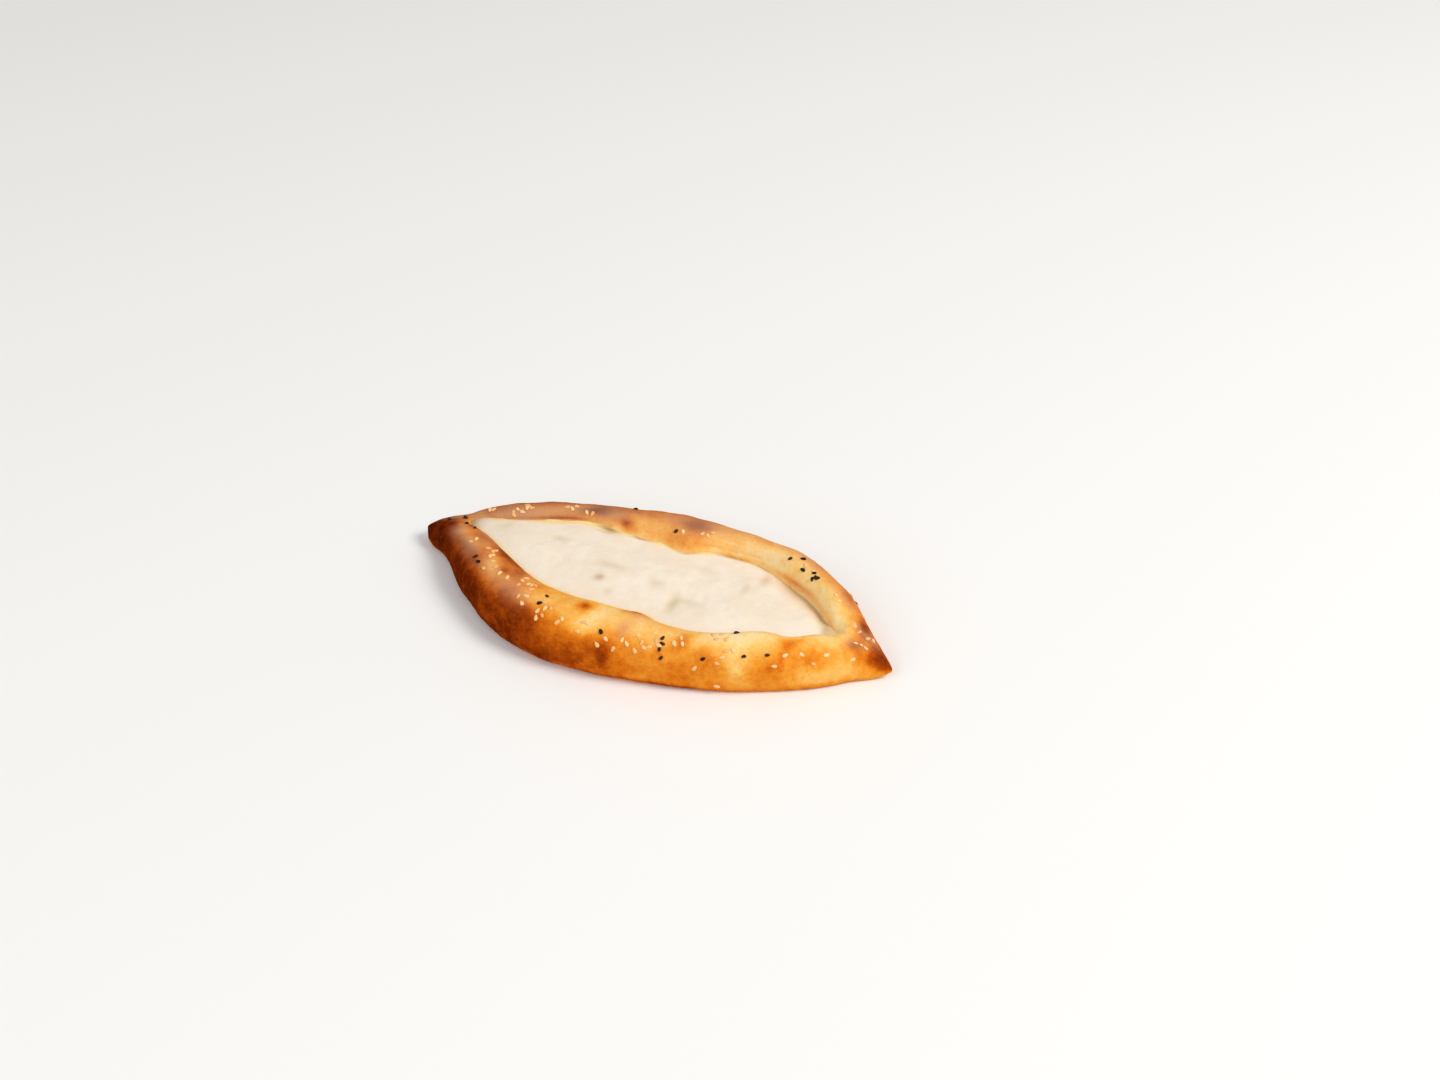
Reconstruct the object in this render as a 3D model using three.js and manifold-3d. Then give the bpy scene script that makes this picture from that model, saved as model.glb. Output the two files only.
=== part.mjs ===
// A halloumi pie: a boat of browned bread dough whose two long rims are pinched together at both
// ends, with soft white cheese in the opening and sesame and nigella seeds baked onto the crust.
// Millimetres, +Z up. X runs from one tip to the other and the front rim faces -Y.
import * as THREE from 'three';
import { mergeVertices } from 'three/addons/utils/BufferGeometryUtils.js';
import Module from 'manifold-3d';

// Driving dimensions, one row for each place along the boat.
// front and back are the outer edges, lipFront and lipBack the edges of the opening, crest is the
// height of both rims, and drop is how far the lips lie below the crest.
const STATIONS = [
  { x: -127, front: -2, back: 5, lipFront: 2, lipBack: 2, crest: 9, drop: 1 },
  { x: -112, front: -9, back: 14, lipFront: 7, lipBack: 8, crest: 13, drop: 1 },
  { x: -98, front: -22, back: 23, lipFront: 3, lipBack: 12, crest: 18, drop: 3 },
  { x: -84, front: -35, back: 31, lipFront: -5, lipBack: 14, crest: 21, drop: 4 },
  { x: -46, front: -58, back: 43, lipFront: -26, lipBack: 28, crest: 24, drop: 6 },
  { x: -6, front: -61, back: 57, lipFront: -29, lipBack: 28, crest: 25, drop: 7 },
  { x: 34, front: -53, back: 54, lipFront: -29, lipBack: 35, crest: 25, drop: 8 },
  { x: 70, front: -40, back: 46, lipFront: -17, lipBack: 27, crest: 26, drop: 10 },
  { x: 97, front: -24, back: 32, lipFront: 2, lipBack: 6, crest: 21, drop: 7 },
  { x: 116, front: -7, back: 13, lipFront: 3, lipBack: 3, crest: 14, drop: 2 },
  { x: 127, front: -1, back: 7, lipFront: 3, lipBack: 3, crest: 6, drop: 1 },
];

// Places where a lip bulges: where, how far it is pushed towards the back, and how wide it is.
const PLEATS_FRONT = [
  { x: -20, push: -1, width: 15 },
  { x: 11, push: 3, width: 7 },
  { x: 70, push: 2, width: 7 },
  { x: 82, push: -2, width: 7 },
];
const PLEATS_BACK = [
  { x: -32, push: -2, width: 12 },
  { x: 7, push: -4, width: 9 },
  { x: 84, push: 2, width: 8 },
];

// The rims. Shares are of the rim's width, and of the crest's height for the belly.
const HALF_LENGTH = 127;
const NOSE = { left: 9, right: 14 }; // the tips round off over these lengths
const TIP_SHARE = 0.2; // width left at the very tip
const TIP_HEIGHT = 0.8; // height left where the width would be nothing
const TAIL = { length: 8.5, lift: 3.6, power: 1.25 }; // the underside rises to the tail's point
const CREST_SHARE = 0.48; // the crest's place between the lip and the outer edge
const BELLY_SHARE = 0.3; // height of the widest part of the rim
const UNDERCUT = 4; // how far the foot of the rim lies inside its widest part
const UNDERCUT_SHARE = 0.3; // the most of the rim's width that the undercut takes
const ROUNDNESS = 0.85; // power of the rim's arch, fuller than a circle below 1
const SLOPE_END = THREE.MathUtils.degToRad(65); // where the inner slope's arc stops at the lip

// The opening and the cheese in it.
const OPENING = { left: -100, right: 94 };
const END_WALL = 1; // length of the opening's steep end walls
const FLOOR = 6; // dough below the cheese
const SEAM_DEPTH = 0.2; // groove where the rims are pinched together
const SEAM_WIDTH = 0.9;
const GAP = 0.35; // clearance between the cheese and the dough
const CROWN = 1.5; // how much higher the cheese stands in the middle than at the lips
const CHEESE_SWELLS = [
  { x: -62, y: 6, height: 0.8, width: 20 },
  { x: -22, y: -12, height: 0.9, width: 16 },
  { x: 8, y: 14, height: 0.7, width: 14 },
  { x: 22, y: -12, height: -1.1, width: 11 },
  { x: 44, y: 16, height: 0.9, width: 12 },
  { x: 50, y: -8, height: 0.8, width: 15 },
];

// Faces along and across.
const RINGS_TIP = 9;
const RINGS_OPENING = 34;
const STEPS = { foot: 3, outer: 7, slope: 5, wall: 2 };
const CHEESE_STEPS = 14;

// Seeds. side is -1 on the front rim and 1 on the back rim. up runs over the rim: 0 at the foot,
// 1 at the belly, 2 on the crest and 3 at the lip. reach is the radius of a patch.
const RIM_STEP = 16; // millimetres of crust in one step of up
const HIGHEST_SEED = 2.85;
const SESAME = { long: 3.1, wide: 1.9, thick: 1.0, taper: 0.35, sunk: 0.1 };
const NIGELLA = { long: 2.7, wide: 1.7, thick: 1.5, taper: 0.25, sunk: 0.15 };
const SESAME_PATCHES = [
  { side: -1, x: -90, up: 2.15, count: 2, reach: 3 },
  { side: -1, x: -77, up: 2.3, count: 4, reach: 4 },
  { side: -1, x: -71, up: 1.95, count: 4, reach: 5 },
  { side: -1, x: -59, up: 1.98, count: 2, reach: 4 },
  { side: -1, x: -47, up: 2.25, count: 6, reach: 5 },
  { side: -1, x: -43, up: 1.9, count: 4, reach: 4 },
  { side: -1, x: -30, up: 1.78, count: 6, reach: 4 },
  { side: -1, x: -18, up: 1.65, count: 2, reach: 2 },
  { side: -1, x: -8, up: 1.68, count: 3, reach: 3 },
  { side: -1, x: 4, up: 1.52, count: 2, reach: 3 },
  { side: -1, x: 12, up: 1.5, count: 3, reach: 4 },
  { side: -1, x: 21, up: 1.56, count: 4, reach: 4 },
  { side: -1, x: 27, up: 1.68, count: 4, reach: 4 },
  { side: -1, x: 38, up: 1.8, count: 3, reach: 3 },
  { side: -1, x: 48, up: 1.2, count: 1, reach: 0 },
  { side: -1, x: 57, up: 1.8, count: 8, reach: 8 },
  { side: -1, x: 58, up: 0.75, count: 1, reach: 0 },
  { side: -1, x: 84, up: 1.45, count: 2, reach: 4 },
  { side: -1, x: 91, up: 1.6, count: 1, reach: 0 },
  { side: -1, x: 99, up: 1.55, count: 2, reach: 4 },
  { side: -1, x: 111, up: 1.55, count: 1, reach: 0 },
  { side: -1, x: 111, up: 2.5, count: 3, reach: 3 },
  { side: 1, x: 115, up: 2.1, count: 1, reach: 0 },
  { side: 1, x: 108, up: 2.4, count: 3, reach: 5 },
  { side: 1, x: 92, up: 2.1, count: 2, reach: 3 },
  { side: 1, x: 72, up: 2.15, count: 2, reach: 4 },
  { side: 1, x: 14, up: 2.3, count: 3, reach: 3 },
  { side: 1, x: 2.5, up: 2.36, count: 1, reach: 0 },
  { side: 1, x: -47, up: 2.4, count: 2, reach: 3 },
  { side: 1, x: -58, up: 2.2, count: 3, reach: 3 },
  { side: 1, x: -81, up: 2.4, count: 8, reach: 6 },
  { side: 1, x: -96, up: 2.1, count: 2, reach: 3 },
];
const NIGELLA_PATCHES = [
  { side: -1, x: -104.5, up: 2.75, count: 1, reach: 0 },
  { side: -1, x: -97.5, up: 2.7, count: 1, reach: 0 },
  { side: -1, x: -81.5, up: 1.84, count: 1, reach: 0 },
  { side: -1, x: -78, up: 1.8, count: 1, reach: 0 },
  { side: -1, x: -32.5, up: 2.12, count: 1, reach: 0 },
  { side: -1, x: -33, up: 1.88, count: 1, reach: 0 },
  { side: -1, x: 2, up: 1.66, count: 1, reach: 0 },
  { side: -1, x: 30.5, up: 1.8, count: 1, reach: 0 },
  { side: -1, x: 31.5, up: 1.66, count: 1, reach: 0 },
  { side: -1, x: 31, up: 1.52, count: 1, reach: 0 },
  { side: -1, x: 32.5, up: 1.35, count: 1, reach: 0 },
  { side: -1, x: 51, up: 1.4, count: 1, reach: 0 },
  { side: -1, x: 60.5, up: 2.2, count: 1, reach: 0 },
  { side: -1, x: 68, up: 1.48, count: 1, reach: 0 },
  { side: -1, x: 77.5, up: 1.55, count: 1, reach: 0 },
  { side: 1, x: -117, up: 2.6, count: 1, reach: 0 },
  { side: 1, x: -108.5, up: 2.85, count: 1, reach: 0 },
  { side: 1, x: -28, up: 1.8, count: 1, reach: 0 },
  { side: 1, x: -1, up: 2.42, count: 1, reach: 0 },
  { side: 1, x: 60, up: 2.3, count: 1, reach: 0 },
  { side: 1, x: 66, up: 2, count: 1, reach: 0 },
  { side: 1, x: 68, up: 2.42, count: 1, reach: 0 },
  { side: 1, x: 75, up: 2.33, count: 4, reach: 2.6 },
];
// The outer face of the back rim is sprinkled thinly and evenly.
const SPRINKLE = { side: 1, reach: 108, lowest: 0.7, highest: 1.6 };
const SPRINKLED_SESAME = 24;
const SPRINKLED_NIGELLA = 9;

const GOLDEN_ANGLE = Math.PI * (3 - Math.sqrt(5));
const SEED_FACES = { around: 5, along: 3 };

// A repeatable number from 0 to 1 for each whole number n.
function shuffled(n) {
  const wave = Math.sin(n * 12.9898 + 4.137) * 43758.5453;
  return wave - Math.floor(wave);
}

// Cubic curve through one size of the stations, with each slope taken across the two neighbours.
function sizeAt(x, name) {
  const last = STATIONS.length - 1;
  let i = 0;
  while (i < last - 1 && x >= STATIONS[i + 1].x) i++;
  const slope = (k) => {
    const before = STATIONS[Math.max(k - 1, 0)];
    const after = STATIONS[Math.min(k + 1, last)];
    return (after[name] - before[name]) / (after.x - before.x);
  };
  const a = STATIONS[i];
  const b = STATIONS[i + 1];
  const span = b.x - a.x;
  const u = (x - a.x) / span;
  const rise = a[name] * (1 + 2 * u) * (1 - u) ** 2 + b[name] * (3 - 2 * u) * u ** 2;
  return rise + span * (slope(i) * u * (1 - u) ** 2 - slope(i + 1) * u ** 2 * (1 - u));
}

// Sum of the bell-shaped bulges at x.
function pleatAt(x, pleats) {
  return pleats.reduce((sum, p) => sum + p.push * Math.exp(-(((x - p.x) / p.width) ** 2)), 0);
}

// The boat's cross section sizes at x. Near the tips the widths close in on the seam.
function shapeAt(x) {
  const length = x < 0 ? NOSE.left : NOSE.right;
  const past = Math.max(Math.abs(x) - (HALF_LENGTH - length), 0) / length;
  const nose = Math.max(Math.sqrt(Math.max(1 - past ** 2, 0)), TIP_SHARE);
  const middle = (sizeAt(x, 'lipFront') + sizeAt(x, 'lipBack')) / 2;
  const half = Math.max((sizeAt(x, 'lipBack') - sizeAt(x, 'lipFront')) / 2, SEAM_WIDTH / 2);
  const lipFront = middle - half + pleatAt(x, PLEATS_FRONT);
  const lipBack = Math.max(middle + half + pleatAt(x, PLEATS_BACK), lipFront + SEAM_WIDTH);
  const closeIn = (y) => middle + (y - middle) * nose;
  const tail = Math.max(x - (HALF_LENGTH - TAIL.length), 0) / TAIL.length;
  return {
    edge: { [-1]: closeIn(sizeAt(x, 'front')), 1: closeIn(sizeAt(x, 'back')) },
    lip: { [-1]: closeIn(lipFront), 1: closeIn(lipBack) },
    crest: sizeAt(x, 'crest') * (TIP_HEIGHT + (1 - TIP_HEIGHT) * nose),
    drop: sizeAt(x, 'drop') * nose,
    lift: TAIL.lift * tail ** TAIL.power,
  };
}

// A point of the rim's skin. up from 0 to 1 is a quarter ellipse out from the foot to the belly,
// from 1 to 2 an arch up to the crest, and from 2 to 3 an arc down to the lip.
function skinPoint(x, side, up) {
  const { edge, lip, crest, drop, lift } = shapeAt(x);
  const width = Math.abs(edge[side] - lip[side]);
  const top = lip[side] + (edge[side] - lip[side]) * CREST_SHARE;
  const belly = crest * BELLY_SHARE;
  const raised = (y, z) => new THREE.Vector3(x, y, lift + z * (1 - lift / crest));
  if (up < 1) {
    const turn = (up * Math.PI) / 2;
    const under = Math.min(UNDERCUT, UNDERCUT_SHARE * width) * (1 - Math.sin(turn));
    return raised(edge[side] - side * under, belly * (1 - Math.cos(turn)));
  }
  if (up < 2) {
    const turn = ((up - 1) * Math.PI) / 2;
    const y = top + (edge[side] - top) * Math.cos(turn) ** ROUNDNESS;
    return raised(y, belly + (crest - belly) * Math.sin(turn) ** ROUNDNESS);
  }
  const turn = (up - 2) * SLOPE_END;
  const y = top + ((lip[side] - top) * Math.sin(turn)) / Math.sin(SLOPE_END);
  const fall = (drop * (1 - Math.cos(turn))) / (1 - Math.cos(SLOPE_END));
  return raised(y, crest - fall);
}

// The skin's outward direction, from the cross product of its two tangents.
function skinNormal(x, side, up) {
  const small = 0.02;
  const along = skinPoint(x + small, side, up).sub(skinPoint(x - small, side, up));
  const over = skinPoint(x, side, up + small).sub(skinPoint(x, side, up - small));
  return along.cross(over).multiplyScalar(-side).normalize();
}

// One rim's half of a ring, from the foot over the crest and down the opening's wall.
function rimProfile(x, side, bottom) {
  const ups = [];
  for (let i = 0; i < STEPS.foot; i++) ups.push(i / STEPS.foot);
  for (let i = 0; i < STEPS.outer; i++) ups.push(1 + i / STEPS.outer);
  for (let i = 0; i <= STEPS.slope; i++) ups.push(2 + i / STEPS.slope);
  const points = ups.map((up) => skinPoint(x, side, up));
  const lip = points[points.length - 1];
  for (let i = 1; i <= STEPS.wall; i++) {
    const z = THREE.MathUtils.lerp(lip.z, bottom, i / STEPS.wall);
    points.push(new THREE.Vector3(x, lip.y, z));
  }
  return points;
}

function crustRing(x) {
  const inOpening = x > OPENING.left && x < OPENING.right;
  const bottom = inOpening ? FLOOR : skinPoint(x, 1, 3).z - SEAM_DEPTH;
  return [...rimProfile(x, -1, bottom), ...rimProfile(x, 1, bottom).reverse()];
}

// Places of the rings: closer together towards each tip, and a pair at each end wall.
function ringPlaces() {
  const places = [];
  const left = OPENING.left - END_WALL / 2;
  const right = OPENING.right + END_WALL / 2;
  for (let i = RINGS_TIP; i > 0; i--) {
    places.push(left + (-HALF_LENGTH - left) * Math.sin((i / RINGS_TIP) * (Math.PI / 2)));
  }
  places.push(left);
  places.push(...openingPlaces());
  places.push(right);
  for (let i = 1; i <= RINGS_TIP; i++) {
    places.push(right + (HALF_LENGTH - right) * Math.sin((i / RINGS_TIP) * (Math.PI / 2)));
  }
  return places;
}

function openingPlaces() {
  const left = OPENING.left + END_WALL / 2;
  const right = OPENING.right - END_WALL / 2;
  return Array.from({ length: RINGS_OPENING + 1 }, (_, i) =>
    THREE.MathUtils.lerp(left, right, i / RINGS_OPENING),
  );
}

// Skins rings of equal length, each a closed loop, and shuts both ends with a triangulated cap.
function skinned(rings) {
  const size = rings[0].length;
  const positions = rings.flat().flatMap((p) => p.toArray());
  const faces = [];
  for (let r = 0; r < rings.length - 1; r++) {
    for (let i = 0; i < size; i++) {
      const a = r * size + i;
      const b = r * size + ((i + 1) % size);
      faces.push(a, a + size, b + size, a, b + size, b);
    }
  }
  const cap = (r, flip) => {
    const outline = rings[r].map((p) => new THREE.Vector2(p.y, p.z));
    for (const [a, b, c] of THREE.ShapeUtils.triangulateShape(outline, [])) {
      const corners = flip ? [a, c, b] : [a, b, c];
      faces.push(...corners.map((k) => r * size + k));
    }
  };
  cap(0, true);
  cap(rings.length - 1, false);
  const geometry = new THREE.BufferGeometry();
  geometry.setAttribute('position', new THREE.Float32BufferAttribute(positions, 3));
  geometry.setIndex(faces);
  return geometry;
}

// Height of the cheese: level with the lips at its edges, crowned, with soft swells and hollows.
function cheeseTop(x, y, across) {
  const { crest, drop } = shapeAt(x);
  const swell = CHEESE_SWELLS.reduce((sum, s) => {
    const far = ((x - s.x) ** 2 + (y - s.y) ** 2) / s.width ** 2;
    return sum + s.height * Math.exp(-far);
  }, 0);
  const fade = Math.sin(Math.PI * across);
  return crest - drop - GAP + (CROWN + swell) * fade;
}

function cheeseRing(x) {
  const small = 0.5;
  const inset = (side) => {
    const slope = (shapeAt(x + small).lip[side] - shapeAt(x - small).lip[side]) / (2 * small);
    return shapeAt(x).lip[side] - side * GAP * Math.hypot(1, slope);
  };
  const front = inset(-1);
  const back = inset(1);
  const ring = [new THREE.Vector3(x, back, FLOOR + GAP), new THREE.Vector3(x, front, FLOOR + GAP)];
  for (let i = 0; i <= CHEESE_STEPS; i++) {
    const across = i / CHEESE_STEPS;
    const y = THREE.MathUtils.lerp(front, back, across);
    ring.push(new THREE.Vector3(x, y, cheeseTop(x, y, across)));
  }
  return ring;
}

function cheeseGeometry() {
  const places = openingPlaces();
  places[0] += GAP;
  places[places.length - 1] -= GAP;
  return skinned(places.map(cheeseRing));
}

// Spreads each patch's seeds in a sunflower spiral and adds the thin sprinkle.
function seedPlaces(patches, sprinkled, first) {
  const places = [];
  let n = first;
  for (const { side, x, up, count, reach } of patches) {
    for (let i = 0; i < count; i++, n++) {
      const far = reach * Math.sqrt((i + 0.5) / count);
      const turn = i * GOLDEN_ANGLE + shuffled(n) * 2;
      const high = Math.min(up + (far * Math.sin(turn)) / RIM_STEP, HIGHEST_SEED);
      places.push({ side, x: x + far * Math.cos(turn), up: high, n });
    }
  }
  for (let i = 0; i < sprinkled; i++, n++) {
    const x = SPRINKLE.reach * (((2 * i + 1) / sprinkled) - 1) + 4 * (shuffled(n) - 0.5);
    const up = THREE.MathUtils.lerp(SPRINKLE.lowest, SPRINKLE.highest, shuffled(n + 0.5));
    places.push({ side: SPRINKLE.side, x, up, n });
  }
  return places;
}

// A tapered ellipsoid lying on the skin, its long axis turned at random.
function seedGeometry(seed, { side, x, up, n }) {
  const geometry = new THREE.SphereGeometry(1, SEED_FACES.around, SEED_FACES.along);
  const vertices = geometry.attributes.position;
  for (let i = 0; i < vertices.count; i++) {
    const along = vertices.getY(i);
    const narrow = 1 - seed.taper * along;
    vertices.setX(i, (vertices.getX(i) * narrow * seed.wide) / 2);
    vertices.setY(i, (along * seed.long) / 2);
    vertices.setZ(i, (vertices.getZ(i) * seed.thick) / 2);
  }
  const normal = skinNormal(x, side, up);
  const level = new THREE.Vector3(1, 0, 0).cross(normal).normalize();
  const long = level.applyAxisAngle(normal, shuffled(n + 0.25) * Math.PI * 2);
  const wide = new THREE.Vector3().crossVectors(long, normal);
  const place = skinPoint(x, side, up).addScaledVector(normal, seed.thick * seed.sunk);
  geometry.applyMatrix4(new THREE.Matrix4().makeBasis(wide, long, normal).setPosition(place));
  return geometry;
}

const wasm = await Module();
wasm.setup();

function toSolid(geometry) {
  const bare = geometry.clone();
  bare.deleteAttribute('normal');
  bare.deleteAttribute('uv');
  const merged = mergeVertices(bare, 1e-4);
  return new wasm.Manifold(
    new wasm.Mesh({
      numProp: 3,
      vertProperties: new Float32Array(merged.attributes.position.array),
      triVerts: new Uint32Array(merged.index.array),
    }),
  );
}

function toGeometry(solid) {
  const mesh = solid.getMesh();
  const positions = new Float32Array(mesh.numVert * 3);
  for (let i = 0; i < mesh.numVert; i++) {
    const start = i * mesh.numProp;
    positions.set(mesh.vertProperties.subarray(start, start + 3), i * 3);
  }
  const geometry = new THREE.BufferGeometry();
  geometry.setAttribute('position', new THREE.BufferAttribute(positions, 3));
  geometry.setIndex(new THREE.BufferAttribute(new Uint32Array(mesh.triVerts), 1));
  geometry.computeVertexNormals();
  return geometry;
}

function crustGeometry() {
  const seeds = [
    ...seedPlaces(SESAME_PATCHES, SPRINKLED_SESAME, 1).map((p) => seedGeometry(SESAME, p)),
    ...seedPlaces(NIGELLA_PATCHES, SPRINKLED_NIGELLA, 501).map((p) => seedGeometry(NIGELLA, p)),
  ];
  const dough = toSolid(skinned(ringPlaces().map(crustRing)));
  return toGeometry(seeds.reduce((solid, seed) => solid.add(toSolid(seed)), dough));
}

// Both pieces stand in one frame, with the origin at the middle of the crust's underside.
const crust = crustGeometry();
const cheese = cheeseGeometry();
crust.computeBoundingBox();
const centre = crust.boundingBox.getCenter(new THREE.Vector3());
const toOrigin = [-centre.x, -centre.y, -crust.boundingBox.min.z];
crust.translate(...toOrigin);
cheese.translate(...toOrigin);
cheese.computeVertexNormals();

const group = new THREE.Group();
const crustMesh = new THREE.Mesh(
  crust,
  new THREE.MeshStandardMaterial({ color: 0xd69443, roughness: 0.5, metalness: 0 }),
);
crustMesh.name = 'crust';
const cheeseMesh = new THREE.Mesh(
  cheese,
  new THREE.MeshStandardMaterial({ color: 0xf1e7d3, roughness: 0.55, metalness: 0 }),
);
cheeseMesh.name = 'cheese_filling';
group.add(crustMesh, cheeseMesh);

export default group;
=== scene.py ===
"""A baked halloumi pie on a plain pale floor.

The crust, the cheese and the seeds are surfaces worked out with numpy from the pie's driving
dimensions, in millimetres. Their materials are procedural: the baking colours come from an
attribute that says how brown each point of the dough is, which also carries a few lines of
painted shade. Other attributes paint sheen and shade on the crust, and shade on the cheese.
"""
import itertools
import math

import bpy
import numpy as np
from mathutils import Matrix, Vector


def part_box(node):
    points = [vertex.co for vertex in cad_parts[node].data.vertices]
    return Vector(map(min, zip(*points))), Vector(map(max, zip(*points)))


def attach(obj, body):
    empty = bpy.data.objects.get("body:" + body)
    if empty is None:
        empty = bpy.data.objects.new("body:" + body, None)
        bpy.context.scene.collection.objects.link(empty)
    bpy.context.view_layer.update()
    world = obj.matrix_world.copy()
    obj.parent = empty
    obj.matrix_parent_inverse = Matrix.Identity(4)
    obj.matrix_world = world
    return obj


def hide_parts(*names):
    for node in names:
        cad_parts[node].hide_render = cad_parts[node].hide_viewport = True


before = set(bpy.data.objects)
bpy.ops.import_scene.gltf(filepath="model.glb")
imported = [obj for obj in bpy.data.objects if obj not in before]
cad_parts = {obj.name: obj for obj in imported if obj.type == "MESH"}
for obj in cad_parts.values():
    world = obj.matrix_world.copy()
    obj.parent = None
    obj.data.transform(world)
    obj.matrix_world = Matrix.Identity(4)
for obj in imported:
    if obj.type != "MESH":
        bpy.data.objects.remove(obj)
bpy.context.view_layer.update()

MM = 0.001
FRONT, BACK = -1, 1

# Driving dimensions of the boat, one row for each place along it: the outer edges, the edges of
# the opening, the height of both rims, and how far the lips lie below the crest.
COLUMNS = ("x", "front", "back", "lip_front", "lip_back", "crest", "drop")
STATIONS = np.array([
    (-127, -2, 5, 2, 2, 9, 1),
    (-112, -9, 14, 7, 8, 13, 1),
    (-98, -22, 23, 3, 12, 18, 3),
    (-84, -35, 31, -5, 14, 21, 4),
    (-46, -58, 43, -26, 28, 24, 6),
    (-6, -61, 57, -29, 28, 25, 7),
    (34, -53, 54, -29, 35, 25, 8),
    (70, -40, 46, -17, 27, 26, 10),
    (97, -24, 32, 2, 6, 21, 7),
    (116, -7, 13, 3, 3, 14, 2),
    (127, -1, 7, 3, 3, 6, 1),
], float)

# Where a lip bulges: x, push towards the back, width.
PLEATS_FRONT = ((-20, -1, 15), (11, 3, 7), (70, 2, 7), (82, -2, 7))
PLEATS_BACK = ((-32, -2, 12), (7, -4, 9), (84, 2, 8))

HALF_LENGTH = 127
NOSE_LEFT, NOSE_RIGHT = 9, 14  # lengths over which the tips close in
TIP_HEIGHT = 0.8  # share of the crest's height that the tips keep
THINNEST = 0.02  # share of the width that the tips keep
TAIL_LENGTH, TAIL_LIFT, TAIL_POWER = 8.5, 3.6, 1.25  # the underside rises to the tail's point
CREST_SHARE = 0.48  # the crest's place between the lip and the outer edge
BELLY_SHARE = 0.3  # height of a rim's widest place, as a share of the crest's
UNDERCUT = 4  # how far the foot lies inside the widest place
UNDERCUT_SHARE = 0.3  # the most that the undercut may take of the rim's width
ROUNDNESS = 0.85  # power that makes the arch over the rim fuller than an ellipse
SLOPE_END = math.radians(65)  # how steep the arc of a rim's inner slope is at the lip
LEFT_END, RIGHT_END = -100, 94  # the ends of the opening
END_WALL = 1  # length of the step down to the opening's floor
FLOOR = 6  # thickness of the dough below the cheese
SEAM_WIDTH = 0.9
SEAM_FILL = 0.6  # share of the valley between the rims that is filled where they are pinched
GAP = 0.35  # clearance between the solid cheese and the dough
SOLID_COLUMNS = 35  # columns of the solid cheese

# Grid of the dough: columns from tip to tip, crowded towards both, and the steps over each rim
# and down into the opening, as the up where they start and how many there are.
DOUGH_COLUMNS = 400
TIP_CROWDING = 0.35
RIM_STEPS = ((-1, 5), (0, 19), (1, 45), (2, 41), (3, 3), (4, 3))
RIM_STEP = 16  # millimetres of crust in one step of up

LUMP_GAIN = 1.6  # brings the noise to about -1 to 1


# Numbers and noise

def shuffled(n):
    """A repeatable number from 0 to 1 for each n: what follows the point of a large sine."""
    wave = np.sin(np.asarray(n, float) * 12.9898 + 4.137) * 43758.5453
    return wave - np.floor(wave)


def ease(low, high, value):
    """Runs smoothly from 0 at low to 1 at high, as three squares less two cubes."""
    part = np.clip((value - low) / (high - low), 0, 1)
    return part * part * (3 - 2 * part)


def lumps(points, size, seed):
    """Gradient noise from about -1 to 1: every corner of a lattice has a random slope, and their
    heights are blended across each cell."""
    cells = np.floor(points / size)
    part = points / size - cells
    blend = part ** 3 * (part * (part * 6 - 15) + 10)
    height = np.zeros(points.shape[:-1])
    for corner in itertools.product((0, 1), repeat=3):
        n = (cells + corner) @ np.array([1.0, 57.0, 113.0]) + 977 * seed
        slope = np.stack([shuffled(n + shift) for shift in (0.1, 0.4, 0.7)], -1) * 2 - 1
        weight = np.prod(np.where(corner, blend, 1 - blend), axis=-1)
        height += weight * np.sum(slope * (part - corner), axis=-1)
    return height * LUMP_GAIN


def lumpy(points, rows, base=0):
    """A base height plus noise of several kinds: the height, size and seed of each."""
    return sum((height * lumps(points, size, seed) for height, size, seed in rows), base)


def bumps(rows, x):
    """Sum of bells along the pie: amount times exp of minus the squared distance over the width."""
    return sum(amount * np.exp(-((x - place) / width) ** 2) for place, amount, width in rows)


def bells(rows, x, y, scale=1):
    """Sum of bell-shaped patches: amount times exp of minus the squared distances, where a scale
    turns y into millimetres."""
    return sum(
        amount * np.exp(-((x - place_x) / length) ** 2 - ((y - place_y) * scale / breadth) ** 2)
        for place_x, place_y, length, breadth, amount in rows
    )


def away_from_line(points, start, end):
    """Distance from the straight line between two points."""
    line = end - start
    share = np.clip((points - start) @ line / (line @ line), 0, 1)
    return np.linalg.norm(points - (start + share[..., None] * line), axis=-1)


# The form of the boat

def size_at(x, name):
    """Cubic curve through one size of the stations, each slope taken across its neighbours."""
    places = STATIONS[:, 0]
    values = STATIONS[:, COLUMNS.index(name)]
    before = np.maximum(np.arange(len(places)) - 1, 0)
    after = np.minimum(np.arange(len(places)) + 1, len(places) - 1)
    slopes = (values[after] - values[before]) / (places[after] - places[before])
    i = np.clip(np.searchsorted(places, x, side="right") - 1, 0, len(places) - 2)
    span = places[i + 1] - places[i]
    u = (x - places[i]) / span
    rise = values[i] * (1 + 2 * u) * (1 - u) ** 2 + values[i + 1] * (3 - 2 * u) * u ** 2
    return rise + span * (slopes[i] * u * (1 - u) ** 2 - slopes[i + 1] * u ** 2 * (1 - u))


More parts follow.
